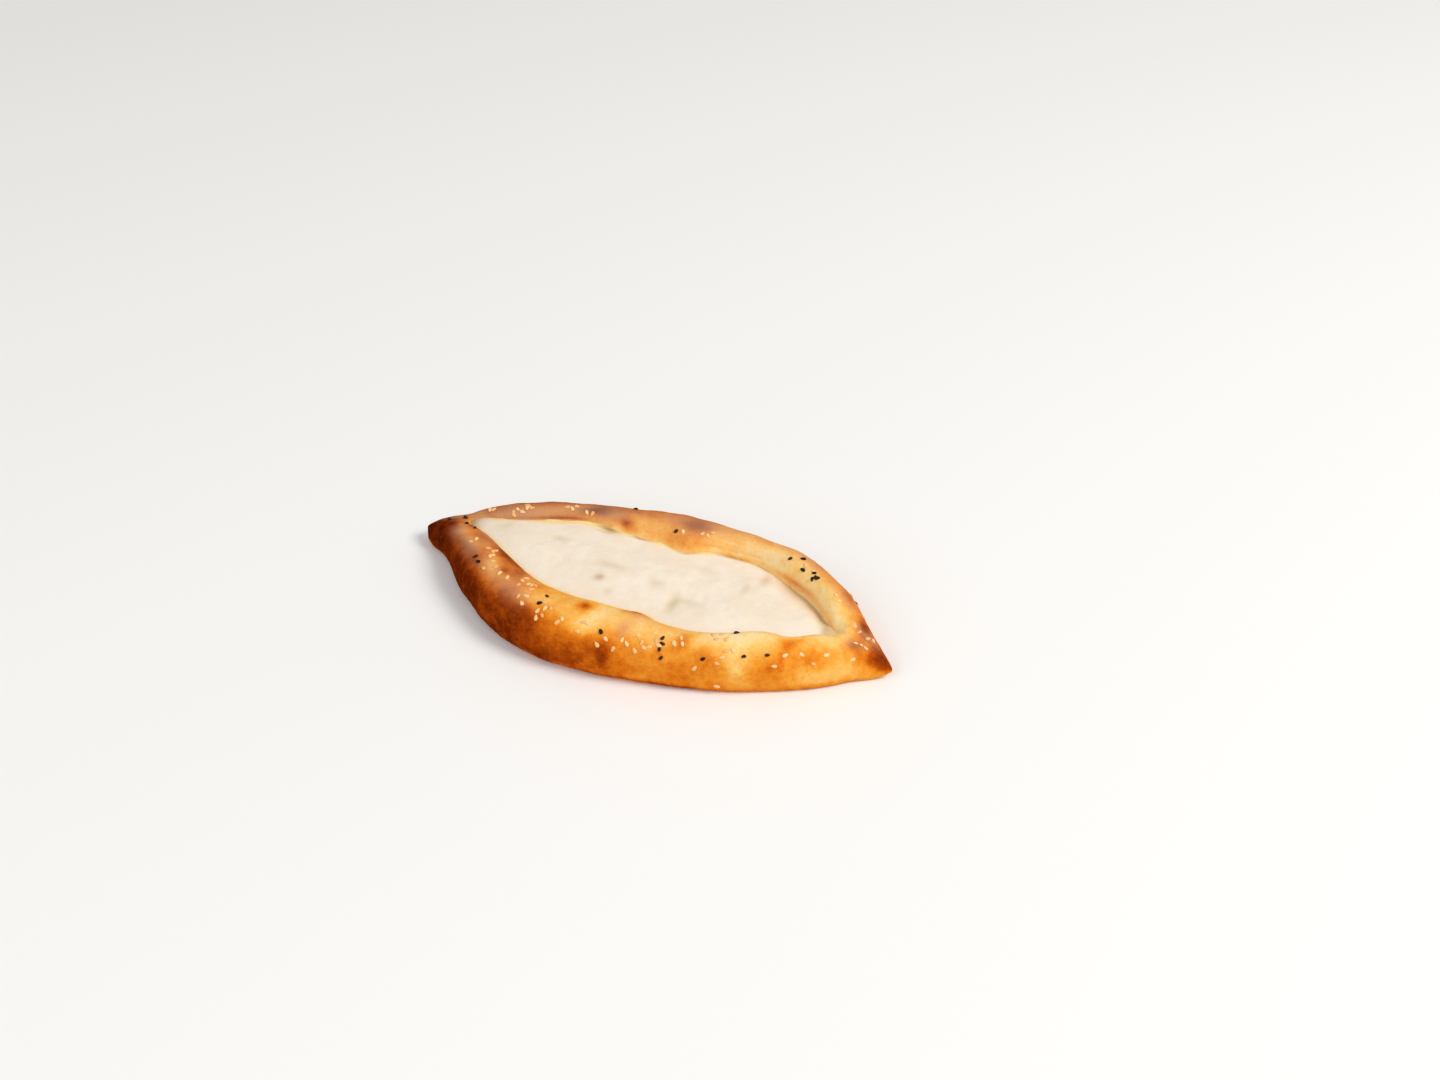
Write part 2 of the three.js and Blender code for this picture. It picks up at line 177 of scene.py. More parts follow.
def shape_at(x):
    """Cross section sizes at x. Near the tips the widths close in on the seam as an ellipse, and
    the lift of the underside grows to the tail's point as a power of the way along it."""
    length = np.where(x < 0, NOSE_LEFT, NOSE_RIGHT)
    past = np.clip((np.abs(x) - (HALF_LENGTH - length)) / length, 0, 1)
    nose = np.maximum(np.sqrt(1 - past ** 2), THINNEST)
    middle = (size_at(x, "lip_front") + size_at(x, "lip_back")) / 2
    half = np.maximum((size_at(x, "lip_back") - size_at(x, "lip_front")) / 2, SEAM_WIDTH / 2)
    lip_front = middle - half + bumps(PLEATS_FRONT, x)
    lip_back = np.maximum(middle + half + bumps(PLEATS_BACK, x), lip_front + SEAM_WIDTH)
    tail = np.clip(x - (HALF_LENGTH - TAIL_LENGTH), 0, TAIL_LENGTH) / TAIL_LENGTH

    def closed(y):
        return middle + (y - middle) * nose

    return {
        "edge": {FRONT: closed(size_at(x, "front")), BACK: closed(size_at(x, "back"))},
        "lip": {FRONT: closed(lip_front), BACK: closed(lip_back)},
        "middle": middle,
        "crest": size_at(x, "crest") * (TIP_HEIGHT + (1 - TIP_HEIGHT) * nose),
        "drop": size_at(x, "drop") * nose,
        "lift": TAIL_LIFT * tail ** TAIL_POWER,
    }


def skin(x, up, side):
    """Points of a rim. up from 0 to 1 is a quarter ellipse from the foot out to the belly, from
    1 to 2 an arch up to the crest, and from 2 to 3 an arc down to the lip. The lift raises the
    foot and leaves the crest where it is."""
    x, up = np.broadcast_arrays(np.asarray(x, float), np.asarray(up, float))
    s = shape_at(x)
    edge, lip = s["edge"][side], s["lip"][side]
    top = lip + (edge - lip) * CREST_SHARE
    belly = s["crest"] * BELLY_SHARE
    foot = np.clip(up, 0, 1) * math.pi / 2
    under = np.minimum(UNDERCUT, UNDERCUT_SHARE * np.abs(edge - lip)) * (1 - np.sin(foot))
    arch = np.clip(up - 1, 0, 1) * math.pi / 2
    over = np.clip(np.cos(arch), 0, 1) ** ROUNDNESS
    rise = np.clip(np.sin(arch), 0, 1) ** ROUNDNESS
    fall = np.clip(up - 2, 0, 1) * SLOPE_END
    y = np.where(up < 1, edge - side * under, top + (edge - top) * over)
    y = np.where(up > 2, top + (lip - top) * np.sin(fall) / math.sin(SLOPE_END), y)
    z = np.where(up < 1, belly * (1 - np.cos(foot)), belly + (s["crest"] - belly) * rise)
    down = s["drop"] * (1 - np.cos(fall)) / (1 - math.cos(SLOPE_END))
    z = np.where(up > 2, s["crest"] - down, z)
    return np.stack([x, y, s["lift"] + z * (1 - s["lift"] / s["crest"])], -1)


def skin_normal(x, up, side):
    """Cross product of the skin's two tangents, pointing out of the dough."""
    small = 0.02
    x = np.clip(x, small - HALF_LENGTH, HALF_LENGTH - small)
    up = np.clip(up, small, 3 - small)
    along = skin(x + small, up, side) - skin(x - small, up, side)
    over = skin(x, up + small, side) - skin(x, up - small, side)
    normal = np.cross(along, over) * -side
    return normal / np.maximum(np.linalg.norm(normal, axis=-1, keepdims=True), 1e-9)


def front_of_cheese():
    """Lowest y of the solid cheese in the form's own y. Its edge lies a gap inside the front lip,
    measured square to the lip."""
    small = 0.5
    x = np.linspace(LEFT_END + END_WALL / 2, RIGHT_END - END_WALL / 2, SOLID_COLUMNS)
    x[0] += GAP
    x[-1] -= GAP
    slope = (shape_at(x + small)["lip"][FRONT] - shape_at(x - small)["lip"][FRONT]) / (2 * small)
    return np.min(shape_at(x)["lip"][FRONT] + GAP * np.hypot(1, slope))


# Where the form's y lies in the frame: the cheese's lowest y in both gives the shift.
SHIFT = np.array([0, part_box("cheese_filling")[0].y / MM - front_of_cheese(), 0])


# Relief of the dough

# Noise of the dough: height, size, seed.
DOUGH_LUMPS = ((0.75, 27, 1), (0.3, 9, 2), (0.1, 3.6, 3))
# Blisters and soft swellings: x, up, side, height, radius.
BLISTERS = (
    (-12, 2.3, FRONT, 0.6, 4.5), (5, 1.2, FRONT, 0.9, 6), (4, 1.85, FRONT, 0.5, 3.5),
    (-64, 2.5, FRONT, 0.5, 5), (40, 1.75, FRONT, 0.5, 4), (81, 1.9, FRONT, 0.8, 5),
    (95, 1.4, FRONT, 0.7, 6), (71, 1.1, FRONT, 0.6, 6), (-45, 1.3, FRONT, 0.7, 8),
    (-78, 1.6, FRONT, 0.5, 7), (24, 1.2, FRONT, 0.5, 6), (-28, 2.2, BACK, 0.6, 5), (12, 1.9, BACK, 0.7, 7),
    (-4, 2.3, BACK, 0.4, 4), (60, 2, BACK, 0.6, 7), (88, 2, BACK, 0.6, 6), (-70, 1.7, BACK, 0.6, 7),
    (-20, 1.2, BACK, 0.8, 7), (35, 1.3, BACK, 0.7, 8), (75, 1.2, BACK, 0.6, 6),
)
# Creases in the dough, as lines between two places: x, up, x, up, side, depth, width.
CREASES = (
    (2, 2.74, 22, 2.76, BACK, 0.9, 0.9), (27, 2.8, 44, 2.72, BACK, 0.5, 0.8),
    (18, 2.35, 30, 2.45, BACK, 0.4, 0.9), (-48, 2.8, -33, 2.6, BACK, 0.25, 0.9),
    (-16, 2.75, 2, 2.55, BACK, 0.5, 0.8), (-26, 2.9, -6, 2.75, FRONT, 0.4, 0.7),
    (106, 2.9, 121, 1.9, BACK, 0.8, 1.3), (100, 2.7, 108, 1.7, BACK, 0.5, 1.2),
    (98, 2.6, 112, 1.3, FRONT, 0.5, 1.4), (-100, 2.8, -112, 1.6, FRONT, 0.6, 1.4),
    (-98, 2.7, -110, 1.6, BACK, 0.6, 1.4), (-108, 2.9, -121, 1.9, FRONT, 0.5, 1.2),
)
# How far beyond the opening the rims begin to be pinched, and are fully pinched.
PINCH_BEGINS, PINCH_FULL = 2, 10
# Where the relief fades out: the ups at the foot and towards the lip, and the length at a tip. A
# lip keeps a share of it along the opening, from a little inside the opening's ends.
FOOT_FADE, LIP_FADE, TIP_FADE = 0.45, 2.55, 8
LIP_SHARE, LIP_OUTSIDE, LIP_INSIDE = 0.35, 2, 12
SEAM_RISES_FROM = 2.1  # the up from which the pinched seam is raised


def pinched_at(x):
    """1 where the rims are pinched together beyond the opening, 0 along it."""
    left = ease(LEFT_END - PINCH_FULL, LEFT_END - PINCH_BEGINS, x)
    right = ease(RIGHT_END + PINCH_FULL, RIGHT_END + PINCH_BEGINS, x)
    return 1 - left * right


def relief(points, x, up):
    """Height of the baked dough above its skin: three sizes of noise, bell-shaped blisters and
    bell-shaped grooves. It fades out at the foot and at the pinched seam."""
    height = lumpy(points, DOUGH_LUMPS)
    for place_x, place_up, side, tall, radius in BLISTERS:
        away = np.linalg.norm(points - skin(place_x, place_up, side), axis=-1)
        height += tall * np.exp(-(away / radius) ** 2)
    for x_start, up_start, x_end, up_end, side, depth, width in CREASES:
        start, end = skin(x_start, up_start, side), skin(x_end, up_end, side)
        height -= depth * np.exp(-(away_from_line(points, start, end) / width) ** 2)
    left = ease(LEFT_END - LIP_OUTSIDE, LEFT_END + LIP_INSIDE, x)
    right = ease(RIGHT_END + LIP_OUTSIDE, RIGHT_END - LIP_INSIDE, x)
    lip_hold = 1 - (1 - LIP_SHARE * (left * right)) * ease(LIP_FADE, 3, up)
    tip_hold = ease(HALF_LENGTH, HALF_LENGTH - TIP_FADE, np.abs(x))
    return height * ease(0, FOOT_FADE, up) * lip_hold * tip_hold


def crust_point(x, up, side):
    """The finished dough on a rim: the skin moved out along its normal by the relief, and raised
    towards the seam where the rims are pinched together."""
    points = skin(x, up, side)
    points = points + skin_normal(x, up, side) * relief(points, points[..., 0], up)[..., None]
    filled = SEAM_FILL * shape_at(x)["drop"] * pinched_at(x)
    points[..., 2] += filled * ease(SEAM_RISES_FROM, 3, up)
    return points


def half_section(x, up, side):
    """Half of a closed cross section: the flat underside (up from -1 to 0), the rim (0 to 3),
    the wall of the opening (3 to 4) and its floor (4 to 5)."""
    s = shape_at(x)
    rim = crust_point(x, np.clip(up, 0, 3), side)
    y, z = rim[..., 1], np.maximum(rim[..., 2], 0)
    underside = (s["edge"][FRONT] + s["edge"][BACK]) / 2
    y = np.where(up < 0, underside + (y - underside) * (1 + np.clip(up, -1, 0)), y)
    y = np.where(up > 4, y + (s["middle"] - y) * (up - 4), y)
    in_opening = (
        ease(LEFT_END - END_WALL / 2, LEFT_END + END_WALL / 2, x)
        * ease(RIGHT_END + END_WALL / 2, RIGHT_END - END_WALL / 2, x)
    )
    z = np.where(up > 3, z + (FLOOR - z) * in_opening * np.clip(up - 3, 0, 1), z)
    return np.stack([rim[..., 0], y, z], -1)


# Browning, with a few lines of painted shade

# The left end was nearer the heat, from one x to another. The left tip is a little paler at its
# foot, and the tail below its top, from one up to another.
HEAT, TIP_FOOT, TAIL_TOP = (48, -85), (1.3, 0.7), (2.7, 2.0)
# Tones of each rim, from 0 for pale to 1 for nearly black: the tone, how much more it becomes, and
# where it does.
RIM_TONES = {
    FRONT: {
        "outer": (0.47, 0.36, *HEAT), "crest": (0.24, 0.1, *HEAT),
        "burnt": (0.93, -0.17, *TIP_FOOT), "scorched": (0.84, 0, *TAIL_TOP),
    },
    BACK: {
        "outer": (0.5, 0.2, *HEAT), "crest": (0.26, 0.2, *HEAT),
        "burnt": (0.82, 0, *TIP_FOOT), "scorched": (0.84, -0.1, *TAIL_TOP),
    },
}
# Where each rim changes: the ups from crest to outer face, the x along which the left tip burns,
# and the ups over which the tail is scorched.
RIM_CHANGES = {
    FRONT: {"turn": (2.04, 1.46), "left_tip": (-101, -117), "tail": (1.05, 2.05)},
    BACK: {"turn": (2.4, 1.5), "left_tip": (-111, -123), "tail": (0.6, 1.5)},
}
TAIL_SCORCH = (109, 122)  # the x along which the tail becomes scorched
SEAM_BLEND = 2.3  # the up from which the two rims' colours run together at the pinched seam
RAW_BROWN, RAW_UP, RAW_LENGTH = 0.02, 3.3, 2  # the opening's raw walls: tone, up, fade at the ends
# The most painted sheen and shade that any place gets.
MOST_DUSK = 0.85
# Browner and paler patches of each rim: x, up, length, breadth, how much browner. Most are the dough's own
# baking; the rows noted below also paint shade.
BROWNING = {
    FRONT: (
        (-69, 2.62, 9, 7, 0.19), (-56, 2.6, 6, 7, 0.14), (-62, 2.06, 4, 3, 0.2), (-76, 2.8, 27, 5, 0.16),
        (-75, 2.3, 32, 8, 0.08), (-90, 1.86, 12, 3, 0.14), (-101, 2.4, 4, 5, -0.04),
        (-60, 1.95, 22, 2.5, -0.08), (-74, 1.62, 18, 3, -0.08), (-102, 2.85, 7, 6, 0.2),
        (-62, 2.75, 34, 6, 0.09), (-55, 2.2, 12, 6, 0.07), (-80, 2, 6, 4.5, 0.19), (-100, 1.88, 6, 3, 0.1),
        (-96, 2.45, 9, 6, 0.06), (-50, 2, 7, 5, 0.16), (-82, 1.3, 9, 4, 0.05), (-22, 0.85, 18, 5, 0.1),
        (-12, 2.15, 4, 3.8, 0.4), (-24, 2.25, 8, 5, 0.03), (-8, 1.64, 9, 3.5, -0.21),
        (0, 1.95, 18, 5, -0.07), (6, 1.24, 4, 3.6, 0.2), (-8, 1.2, 6, 4, 0.08), (11, 1.82, 3.5, 2.4, 0.07),
        # The row at x 9, up 2.6 is partly painted shade along the inner slope of the front lip.
        (0, 2.4, 6, 3.5, -0.15), (9, 2.6, 8, 4, 0.28), (25, 2.25, 10, 5, 0.05), (40, 1.87, 4, 4, 0.27),
        (41, 1.08, 7, 2.5, 0.08), (57, 1.2, 5, 3, 0.08), (63, 2, 17, 7, -0.18), (66, 1.3, 5, 6, -0.26),
        (79, 1.15, 7, 4, 0.07), (84, 1.88, 4.5, 3.6, 0.28), (98, 1.42, 4.5, 4, 0.06), (98, 1.8, 8, 5, 0.06),
        (97, 1, 9, 4, -0.16), (107, 1.35, 6, 6, -0.08), (123, 1.6, 4.5, 6, 0.28), (112, 0.95, 7, 5, -0.1),
        (109, 2.35, 5, 9, 0.28), (50, 1.35, 6, 4, 0.06), (25, 1.35, 8, 3, 0.04), (24, 1.62, 9, 3, -0.05),
        (110, 2.05, 5, 5, 0.12), (110, 2.9, 5, 5, 0.2), (-70, 2.12, 4, 4, -0.06), (-108, 2.12, 5, 5, 0.15),
        (12, 2.4, 8, 5, 0.04), (-42, 0.95, 22, 5, 0.05), (126, 1.1, 3.5, 6, 0.12), (60, 0.85, 6, 3, 0.06),
        (-38, 1.62, 8, 3.5, 0.07), (-62, 1.6, 6, 3, -0.05), (-60, 2.15, 5, 4, 0.05),
        (-90, 2.45, 5, 5, 0.06), (-30, 1.87, 6, 3, 0.05), (-9, 1.87, 7, 2.5, -0.06),
        (-30, 2.45, 7, 5, -0.05), (109, 1.37, 6, 3, -0.06), (-20, 2.15, 6, 4, 0.05), (82, 2.15, 6, 4, 0.08),
        # The long row at up 0.42 is partly a browner foot and partly a painted contact shadow under the
        # front rim.
        (-40, 2.45, 6, 5, 0.04), (114, 2.35, 5, 9, 0.12), (36, 0.42, 36, 3, 0.22),
    ),
    BACK: (
        (-27, 2.55, 5, 4, 0.28), (8, 2.1, 10, 4, 0.22), (-17, 2.5, 9, 5, -0.02), (50, 2.5, 18, 9, -0.16),
        (86, 2.45, 15, 9, -0.13), (95, 1.78, 6, 3.5, 0.19), (109, 2, 5, 5, 0.36), (80, 1.95, 12, 3.5, 0.14),
        (-58, 2.98, 16, 2, -0.3), (-46, 2.38, 10, 6, 0.13), (6, 2.5, 15, 9, 0.1), (-25, 2, 12, 4, 0.1),
        (-95, 2.35, 8, 9, 0.1), (98, 2.85, 6, 5, -0.16), (110, 2.8, 5, 6, 0.34), (-112, 2.4, 8, 12, 0.13),
        # The thin rows at x 65 and 90 here, and at x 28 below, are painted shade in the crevice where the
        # dough meets the cheese.
        (-10, 2.95, 40, 2, -0.16), (65, 2.92, 12, 1.4, 0.28), (90, 2.95, 12, 1.5, 0.08),
        (28, 2.97, 12, 1.2, 0.2), (-60, 2.84, 18, 1.6, 0.2), (-60, 1.6, 22, 7, 0.08),
        (-86, 2.3, 16, 8, 0.08), (-45, 2.2, 9, 5, 0.1), (109, 2.5, 6, 7, 0.2), (46, 2.05, 9, 4, 0.09),
        (82, 2.3, 7, 4, 0.09), (101, 2.35, 6, 4, 0.08), (-110, 2.05, 6, 4, -0.06), (-90, 2, 6, 3, -0.06),
        (-55, 2.75, 12, 4, 0.06), (4, 2.65, 12, 4, 0.05), (-75, 2.92, 30, 3, 0.03),
        (-51, 2.05, 6, 3, -0.08), (-42, 2.72, 9, 3.5, -0.12), (-10, 2.65, 5, 4, -0.09),
        (-90, 2.62, 6, 5, -0.06), (-45, 2.3, 10, 5, 0.06), (-60, 2.95, 12, 3, 0.05),
        (-31, 2.85, 3, 3, -0.22), (117, 2.8, 4, 7, 0.12),
    ),
}
# Places of each rim where painted sheen greys the brown towards mauve, standing in for the soft reflection
# of the egg-washed crust: x, up, length, breadth, how much. The row at x 72, up 2.95 of the back rim is
# painted shade along the lip.
DUSKY = {
    FRONT: (
        (-92, 1.9, 9, 4, 0.75), (-106, 2, 6, 6, 0.6), (-70, 1.8, 16, 3, 0.35), (-48, 1.8, 10, 3.5, 0.45),
        (11, 1.8, 3.5, 2.6, 0.5), (109, 2.5, 5, 8, 0.7), (-86, 2.6, 9, 8, 0.35), (40, 2.3, 50, 10, 0.12),
        (-104, 2.6, 7, 9, 0.35), (-75, 2.85, 34, 6, 0.3), (-50, 2.3, 9, 7, 0.3), (12, 2.4, 8, 5, 0.3),
        (-70, 2.1, 16, 5, 0.3),
    ),
    BACK: (
        (-84, 2.4, 28, 11, 0.75), (-44, 2.2, 16, 7, 0.7), (10, 1.9, 50, 6, 0.5), (-10, 2.6, 60, 9, 0.25),
        (-116, 2.5, 12, 14, 0.85), (111, 2.4, 6, 8, 0.7), (64, 1.8, 14, 4, 0.4), (8, 2.1, 12, 4, 0.3),
        (72, 2.95, 18, 2.5, 0.5), (95, 1.8, 8, 4, 0.5), (118, 2.6, 8, 12, 0.4), (-80, 2.95, 30, 5, 0.35),
        (75, 1.95, 14, 4, 0.3),
    ),
}


def across_seam(x, up, side, rule):
    """Lets a rule run without a step from rim to rim where they are pinched together."""
    own = rule(x, up, side)
    seam = (rule(x, 3.0, FRONT) + rule(x, 3.0, BACK)) / 2
    return own + (seam - own) * ease(SEAM_BLEND, 3, up) * pinched_at(x)


def toned(tone, place):
    """A tone that changes smoothly between two places."""
    start, more, low, high = tone
    return start + more * ease(low, high, place)


def rim_brown(x, up, side):
    """How brown a rim is, with a few patches of painted shade. Outer faces are browner than crests,
    the left end was nearer the heat, and both tips are darkest."""
    tones, changes = RIM_TONES[side], RIM_CHANGES[side]
    crest = toned(tones["crest"], x)
    brown = crest + (toned(tones["outer"], x) - crest) * ease(*changes["turn"], up)
    brown = brown + bells(BROWNING[side], x, up, RIM_STEP)
    brown = brown + (toned(tones["burnt"], up) - brown) * ease(*changes["left_tip"], x)
    tail = ease(*TAIL_SCORCH, x) * ease(*changes["tail"], up)
    return brown + (toned(tones["scorched"], up) - brown) * tail


def browned(x, up, side):
    """How brown the dough is, from 0 for pale to 1 for nearly black, with a few lines of painted
    shade. The walls under the cheese's edge are raw."""
    brown = across_seam(x, up, side, rim_brown)
    along = ease(LEFT_END, LEFT_END + RAW_LENGTH, x) * ease(RIGHT_END, RIGHT_END - RAW_LENGTH, x)
    return np.clip(brown + (RAW_BROWN - brown) * (ease(3, RAW_UP, up) * along), 0, 1)


def rim_dusk(x, up, side):
    """How much painted sheen and shade grey the brown of one rim."""
    return bells(DUSKY[side], x, up, RIM_STEP)


def dusky(x, up, side):
    """How much painted sheen and shade grey the brown, from 0 to the most."""
    return np.clip(across_seam(x, up, side, rim_dusk), 0, MOST_DUSK)


# Mesh making

def make_piece(name, points, quads, triangles, material, **attributes):
    """Puts arrays of points and faces into a mesh object at the origin, with its attributes."""
    mesh = bpy.data.meshes.new(name)
    mesh.vertices.add(len(points))
    mesh.vertices.foreach_set("co", ((points + SHIFT) * MM).astype(np.float32).ravel())
    corners = np.concatenate([quads.ravel(), triangles.ravel()])
    mesh.loops.add(len(corners))
    mesh.loops.foreach_set("vertex_index", corners.astype(np.int32))
    first_triangle = quads.size
    starts = np.concatenate([
        np.arange(0, first_triangle, 4), np.arange(first_triangle, len(corners), 3),
    ])
    mesh.polygons.add(len(starts))
    mesh.polygons.foreach_set("loop_start", starts.astype(np.int32))
    mesh.update(calc_edges=True)
    for attribute, values in attributes.items():
        layer = mesh.attributes.new(attribute, "FLOAT", "POINT")
        layer.data.foreach_set("value", np.asarray(values, np.float32).ravel())
    mesh.shade_smooth()
    mesh.materials.append(material)
    piece = bpy.data.objects.new(name, mesh)
    bpy.context.scene.collection.objects.link(piece)
    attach(piece, "root")
    return piece


def tube_faces(columns, size):
    """Faces of a closed tube: quads between neighbouring rings, and a fan from each pole to its
    end ring. The poles are the two points after the rings."""
    ring = np.arange(size)
    near = np.arange(columns - 1)[:, None] * size + ring
    near_next = np.arange(columns - 1)[:, None] * size + np.roll(ring, -1)
    quads = np.stack([near, near + size, near_next + size, near_next], -1).reshape(-1, 4)
    first, last = np.full(size, columns * size), np.full(size, columns * size + 1)
    far = (columns - 1) * size + ring
    fans = [
        np.stack([first, ring, np.roll(ring, -1)], -1),
        np.stack([last, np.roll(far, -1), far], -1),
    ]
    return quads, np.concatenate(fans)


def with_poles(rings):
    """The rings' points in one list, followed by the middle of the first and of the last ring."""
    flat = rings.reshape(-1, *rings.shape[2:])
    return np.concatenate([flat, [rings[0].mean(axis=0), rings[-1].mean(axis=0)]])


def make_tube(name, rings, material, **values):
    """A closed tube through rings of points, with a value at every point for each attribute."""
    quads, fans = tube_faces(*rings.shape[:2])
    values = {attribute: with_poles(value) for attribute, value in values.items()}
    return make_piece(name, with_poles(rings), quads, fans, material, **values)


# Materials

def colour(red, green, blue):
    """A colour as seen on a screen, 0 to 255, turned into the linear light that shaders use."""
    return (*(((part / 255 + 0.055) / 1.055) ** 2.4 for part in (red, green, blue)), 1)


def add_node(tree, kind, inputs=(), **settings):
    """Adds a shader node. Each input is named or numbered, with a value or an output to link."""
    made = tree.nodes.new("ShaderNode" + kind)
    for name, value in settings.items():
        setattr(made, name, value)
    for key, value in dict(inputs).items():
        if isinstance(value, bpy.types.NodeSocket):
            tree.links.new(value, made.inputs[key])
        else:
            made.inputs[key].default_value = value
    return made


def calculate(tree, operation, first, second, clamp=False):
    """A Math node of two numbers."""
    made = add_node(tree, "Math", {0: first, 1: second}, operation=operation, use_clamp=clamp)
    return made.outputs[0]


def blended(tree, share, first, second):
    """A Mix node of two colours."""
    return add_node(tree, "Mix", {0: share, 6: first, 7: second}, data_type="RGBA").outputs[2]


def stretched(tree, value, low, high, to_low=0.0, to_high=1.0):
    """A Map Range node, held to its range."""
    inputs = {0: value, 1: low, 2: high, 3: to_low, 4: to_high}
    return add_node(tree, "MapRange", inputs, interpolation_type="SMOOTHSTEP").outputs[0]


def new_group(name, inputs, outputs):
    """A shader node group with a Vector input, number inputs and number outputs."""
    group = bpy.data.node_groups.new(name, "ShaderNodeTree")
    sockets = [("Vector", "INPUT", "NodeSocketVector")]
    sockets += [(socket, "INPUT", "NodeSocketFloat") for socket in inputs]
    sockets += [(socket, "OUTPUT", "NodeSocketFloat") for socket in outputs]
    for socket, way, kind in sockets:
        group.interface.new_socket(socket, in_out=way, socket_type=kind)
    return group, group.nodes.new("NodeGroupInput"), group.nodes.new("NodeGroupOutput")


def blotch_group():
    """Cloudy patches around a middle of 0.5: broad noise warped a little, and a share of noise
    that is 4.3 times as fine."""
    group, given, result = new_group("cloudy blotches", ["Scale", "Fine Share"], ["Blotches"])
    scale = given.outputs["Scale"]
    broad = add_node(group, "TexNoise", {
        "Vector": given.outputs["Vector"], "Scale": scale,
        "Detail": 2.0, "Roughness": 0.5, "Distortion": 0.6,
    })
    fine_scale = calculate(group, "MULTIPLY", scale, 4.3)
    fine = add_node(group, "TexNoise", {
        "Vector": given.outputs["Vector"], "Scale": fine_scale, "Detail": 3.0, "Roughness": 0.6,
    })
    share = given.outputs["Fine Share"]
    rest = calculate(group, "SUBTRACT", 1.0, share)
    broad_part = calculate(group, "MULTIPLY", broad.outputs[0], rest)
    fine_part = calculate(group, "MULTIPLY", fine.outputs[0], share)
    mixed = calculate(group, "ADD", broad_part, fine_part)
    group.links.new(stretched(group, mixed, 0.3, 0.7), result.inputs["Blotches"])
    return group


def grain_group():
    """Fine surface grain for bump: small soft pits and bubbles over a very fine roughness."""
    group, given, result = new_group("fine grain", ["Scale", "Pits"], ["Height", "Pit Mask"])
    scale = given.outputs["Scale"]
    fine = add_node(group, "TexNoise", {
        "Vector": given.outputs["Vector"], "Scale": scale, "Detail": 4.0, "Roughness": 0.6,
    })
    pit_scale = calculate(group, "MULTIPLY", scale, 0.45)
    pits = add_node(group, "TexVoronoi", {
        "Vector": given.outputs["Vector"], "Scale": pit_scale, "Randomness": 1.0,
    }, feature="F1")
    pit = stretched(group, pits.outputs["Distance"], 0.12, 0.4, to_low=1.0, to_high=0.0)
    dug = calculate(group, "MULTIPLY", pit, given.outputs["Pits"])
    height = calculate(group, "SUBTRACT", fine.outputs[0], dug)
    group.links.new(height, result.inputs["Height"])
    group.links.new(pit, result.inputs["Pit Mask"])
    return group


BLOTCHES = blotch_group()
GRAIN = grain_group()


def use_group(tree, group, inputs):
    """Places a shader node group in a material, with the material's own values."""
    return add_node(tree, "Group", inputs, node_tree=group)


def new_material(name, finish):
    """A material with its tree, its shader with the finish's plain values, and the place on the
    piece."""
    material = bpy.data.materials.new(name)
    material.use_nodes = True
    tree = material.node_tree
    tree.nodes.clear()
    shader = add_node(tree, "BsdfPrincipled", finish)
    output = add_node(tree, "OutputMaterial")
    tree.links.new(shader.outputs[0], output.inputs["Surface"])
    place = add_node(tree, "TexCoord").outputs["Object"]
    return material, tree, shader, place


def attribute(tree, name):
    """The number that a piece's attribute holds."""
    return add_node(tree, "Attribute", attribute_name=name).outputs["Fac"]


def swing(tree, blotches, amount):
    """Turns blotches into a change of up to half the amount either way."""
    centred = calculate(tree, "SUBTRACT", blotches.outputs[0], 0.5)
    return calculate(tree, "MULTIPLY", centred, amount)


def roughened(tree, shader, blotches, smoothest, roughest):
    """Lets the shader's roughness follow the blotches between two values."""
    rough = stretched(tree, blotches.outputs[0], 0.0, 1.0, smoothest, roughest)
    tree.links.new(rough, shader.inputs["Roughness"])


def bumped(tree, shader, height, strength, distance):
    """Bends the shader's normal by a height, with the depth of the bump in metres."""
    bump = add_node(tree, "Bump", {"Strength": strength, "Distance": distance, "Height": height})
    tree.links.new(bump.outputs[0], shader.inputs["Normal"])


# Colours of baked dough: how brown, and the colour.
BAKING = (
    (0.0, colour(252, 230, 184)), (0.14, colour(253, 216, 144)), (0.28, colour(251, 192, 98)),
    (0.42, colour(244, 160, 54)), (0.56, colour(224, 120, 24)), (0.7, colour(174, 74, 10)),
    (0.84, colour(118, 40, 4)), (1.0, colour(62, 18, 2)),
)
# Colours of the painted sheen: a mauve greying, one for pale dough and one for dark dough.
DUSK_PALE, DUSK_DARK = colour(230, 176, 136), colour(92, 36, 20)
FRECKLE = colour(186, 104, 36)
# Colours of the cheese, and its tints from the lowest one up: the attribute and the colour. The first tint
# is painted shade in the hollows, the third is painted shade in the trough along the back lip, and the last
# is real stains together with painted shade along the contact lines.
CREAM, DEEP_CREAM, MOTTLE = colour(251, 237, 220), colour(244, 227, 204), colour(238, 220, 192)
CHEESE_TINTS = (
    ("hollow", colour(212, 192, 152)), ("butter", colour(254, 224, 146)),
    ("toasted", colour(212, 182, 130)), ("stain", colour(178, 128, 68)),
)


def baked_colour(tree, brown):
    """A ramp through the colours of baked dough."""
    ramp = add_node(tree, "ValToRGB", {0: brown})
    stops = ramp.color_ramp.elements
    while len(stops) < len(BAKING):
        stops.new(0.5)
    for stop, (brownness, shade) in zip(stops, BAKING):
        stop.position = brownness
        stop.color = shade
    return ramp.outputs[0]


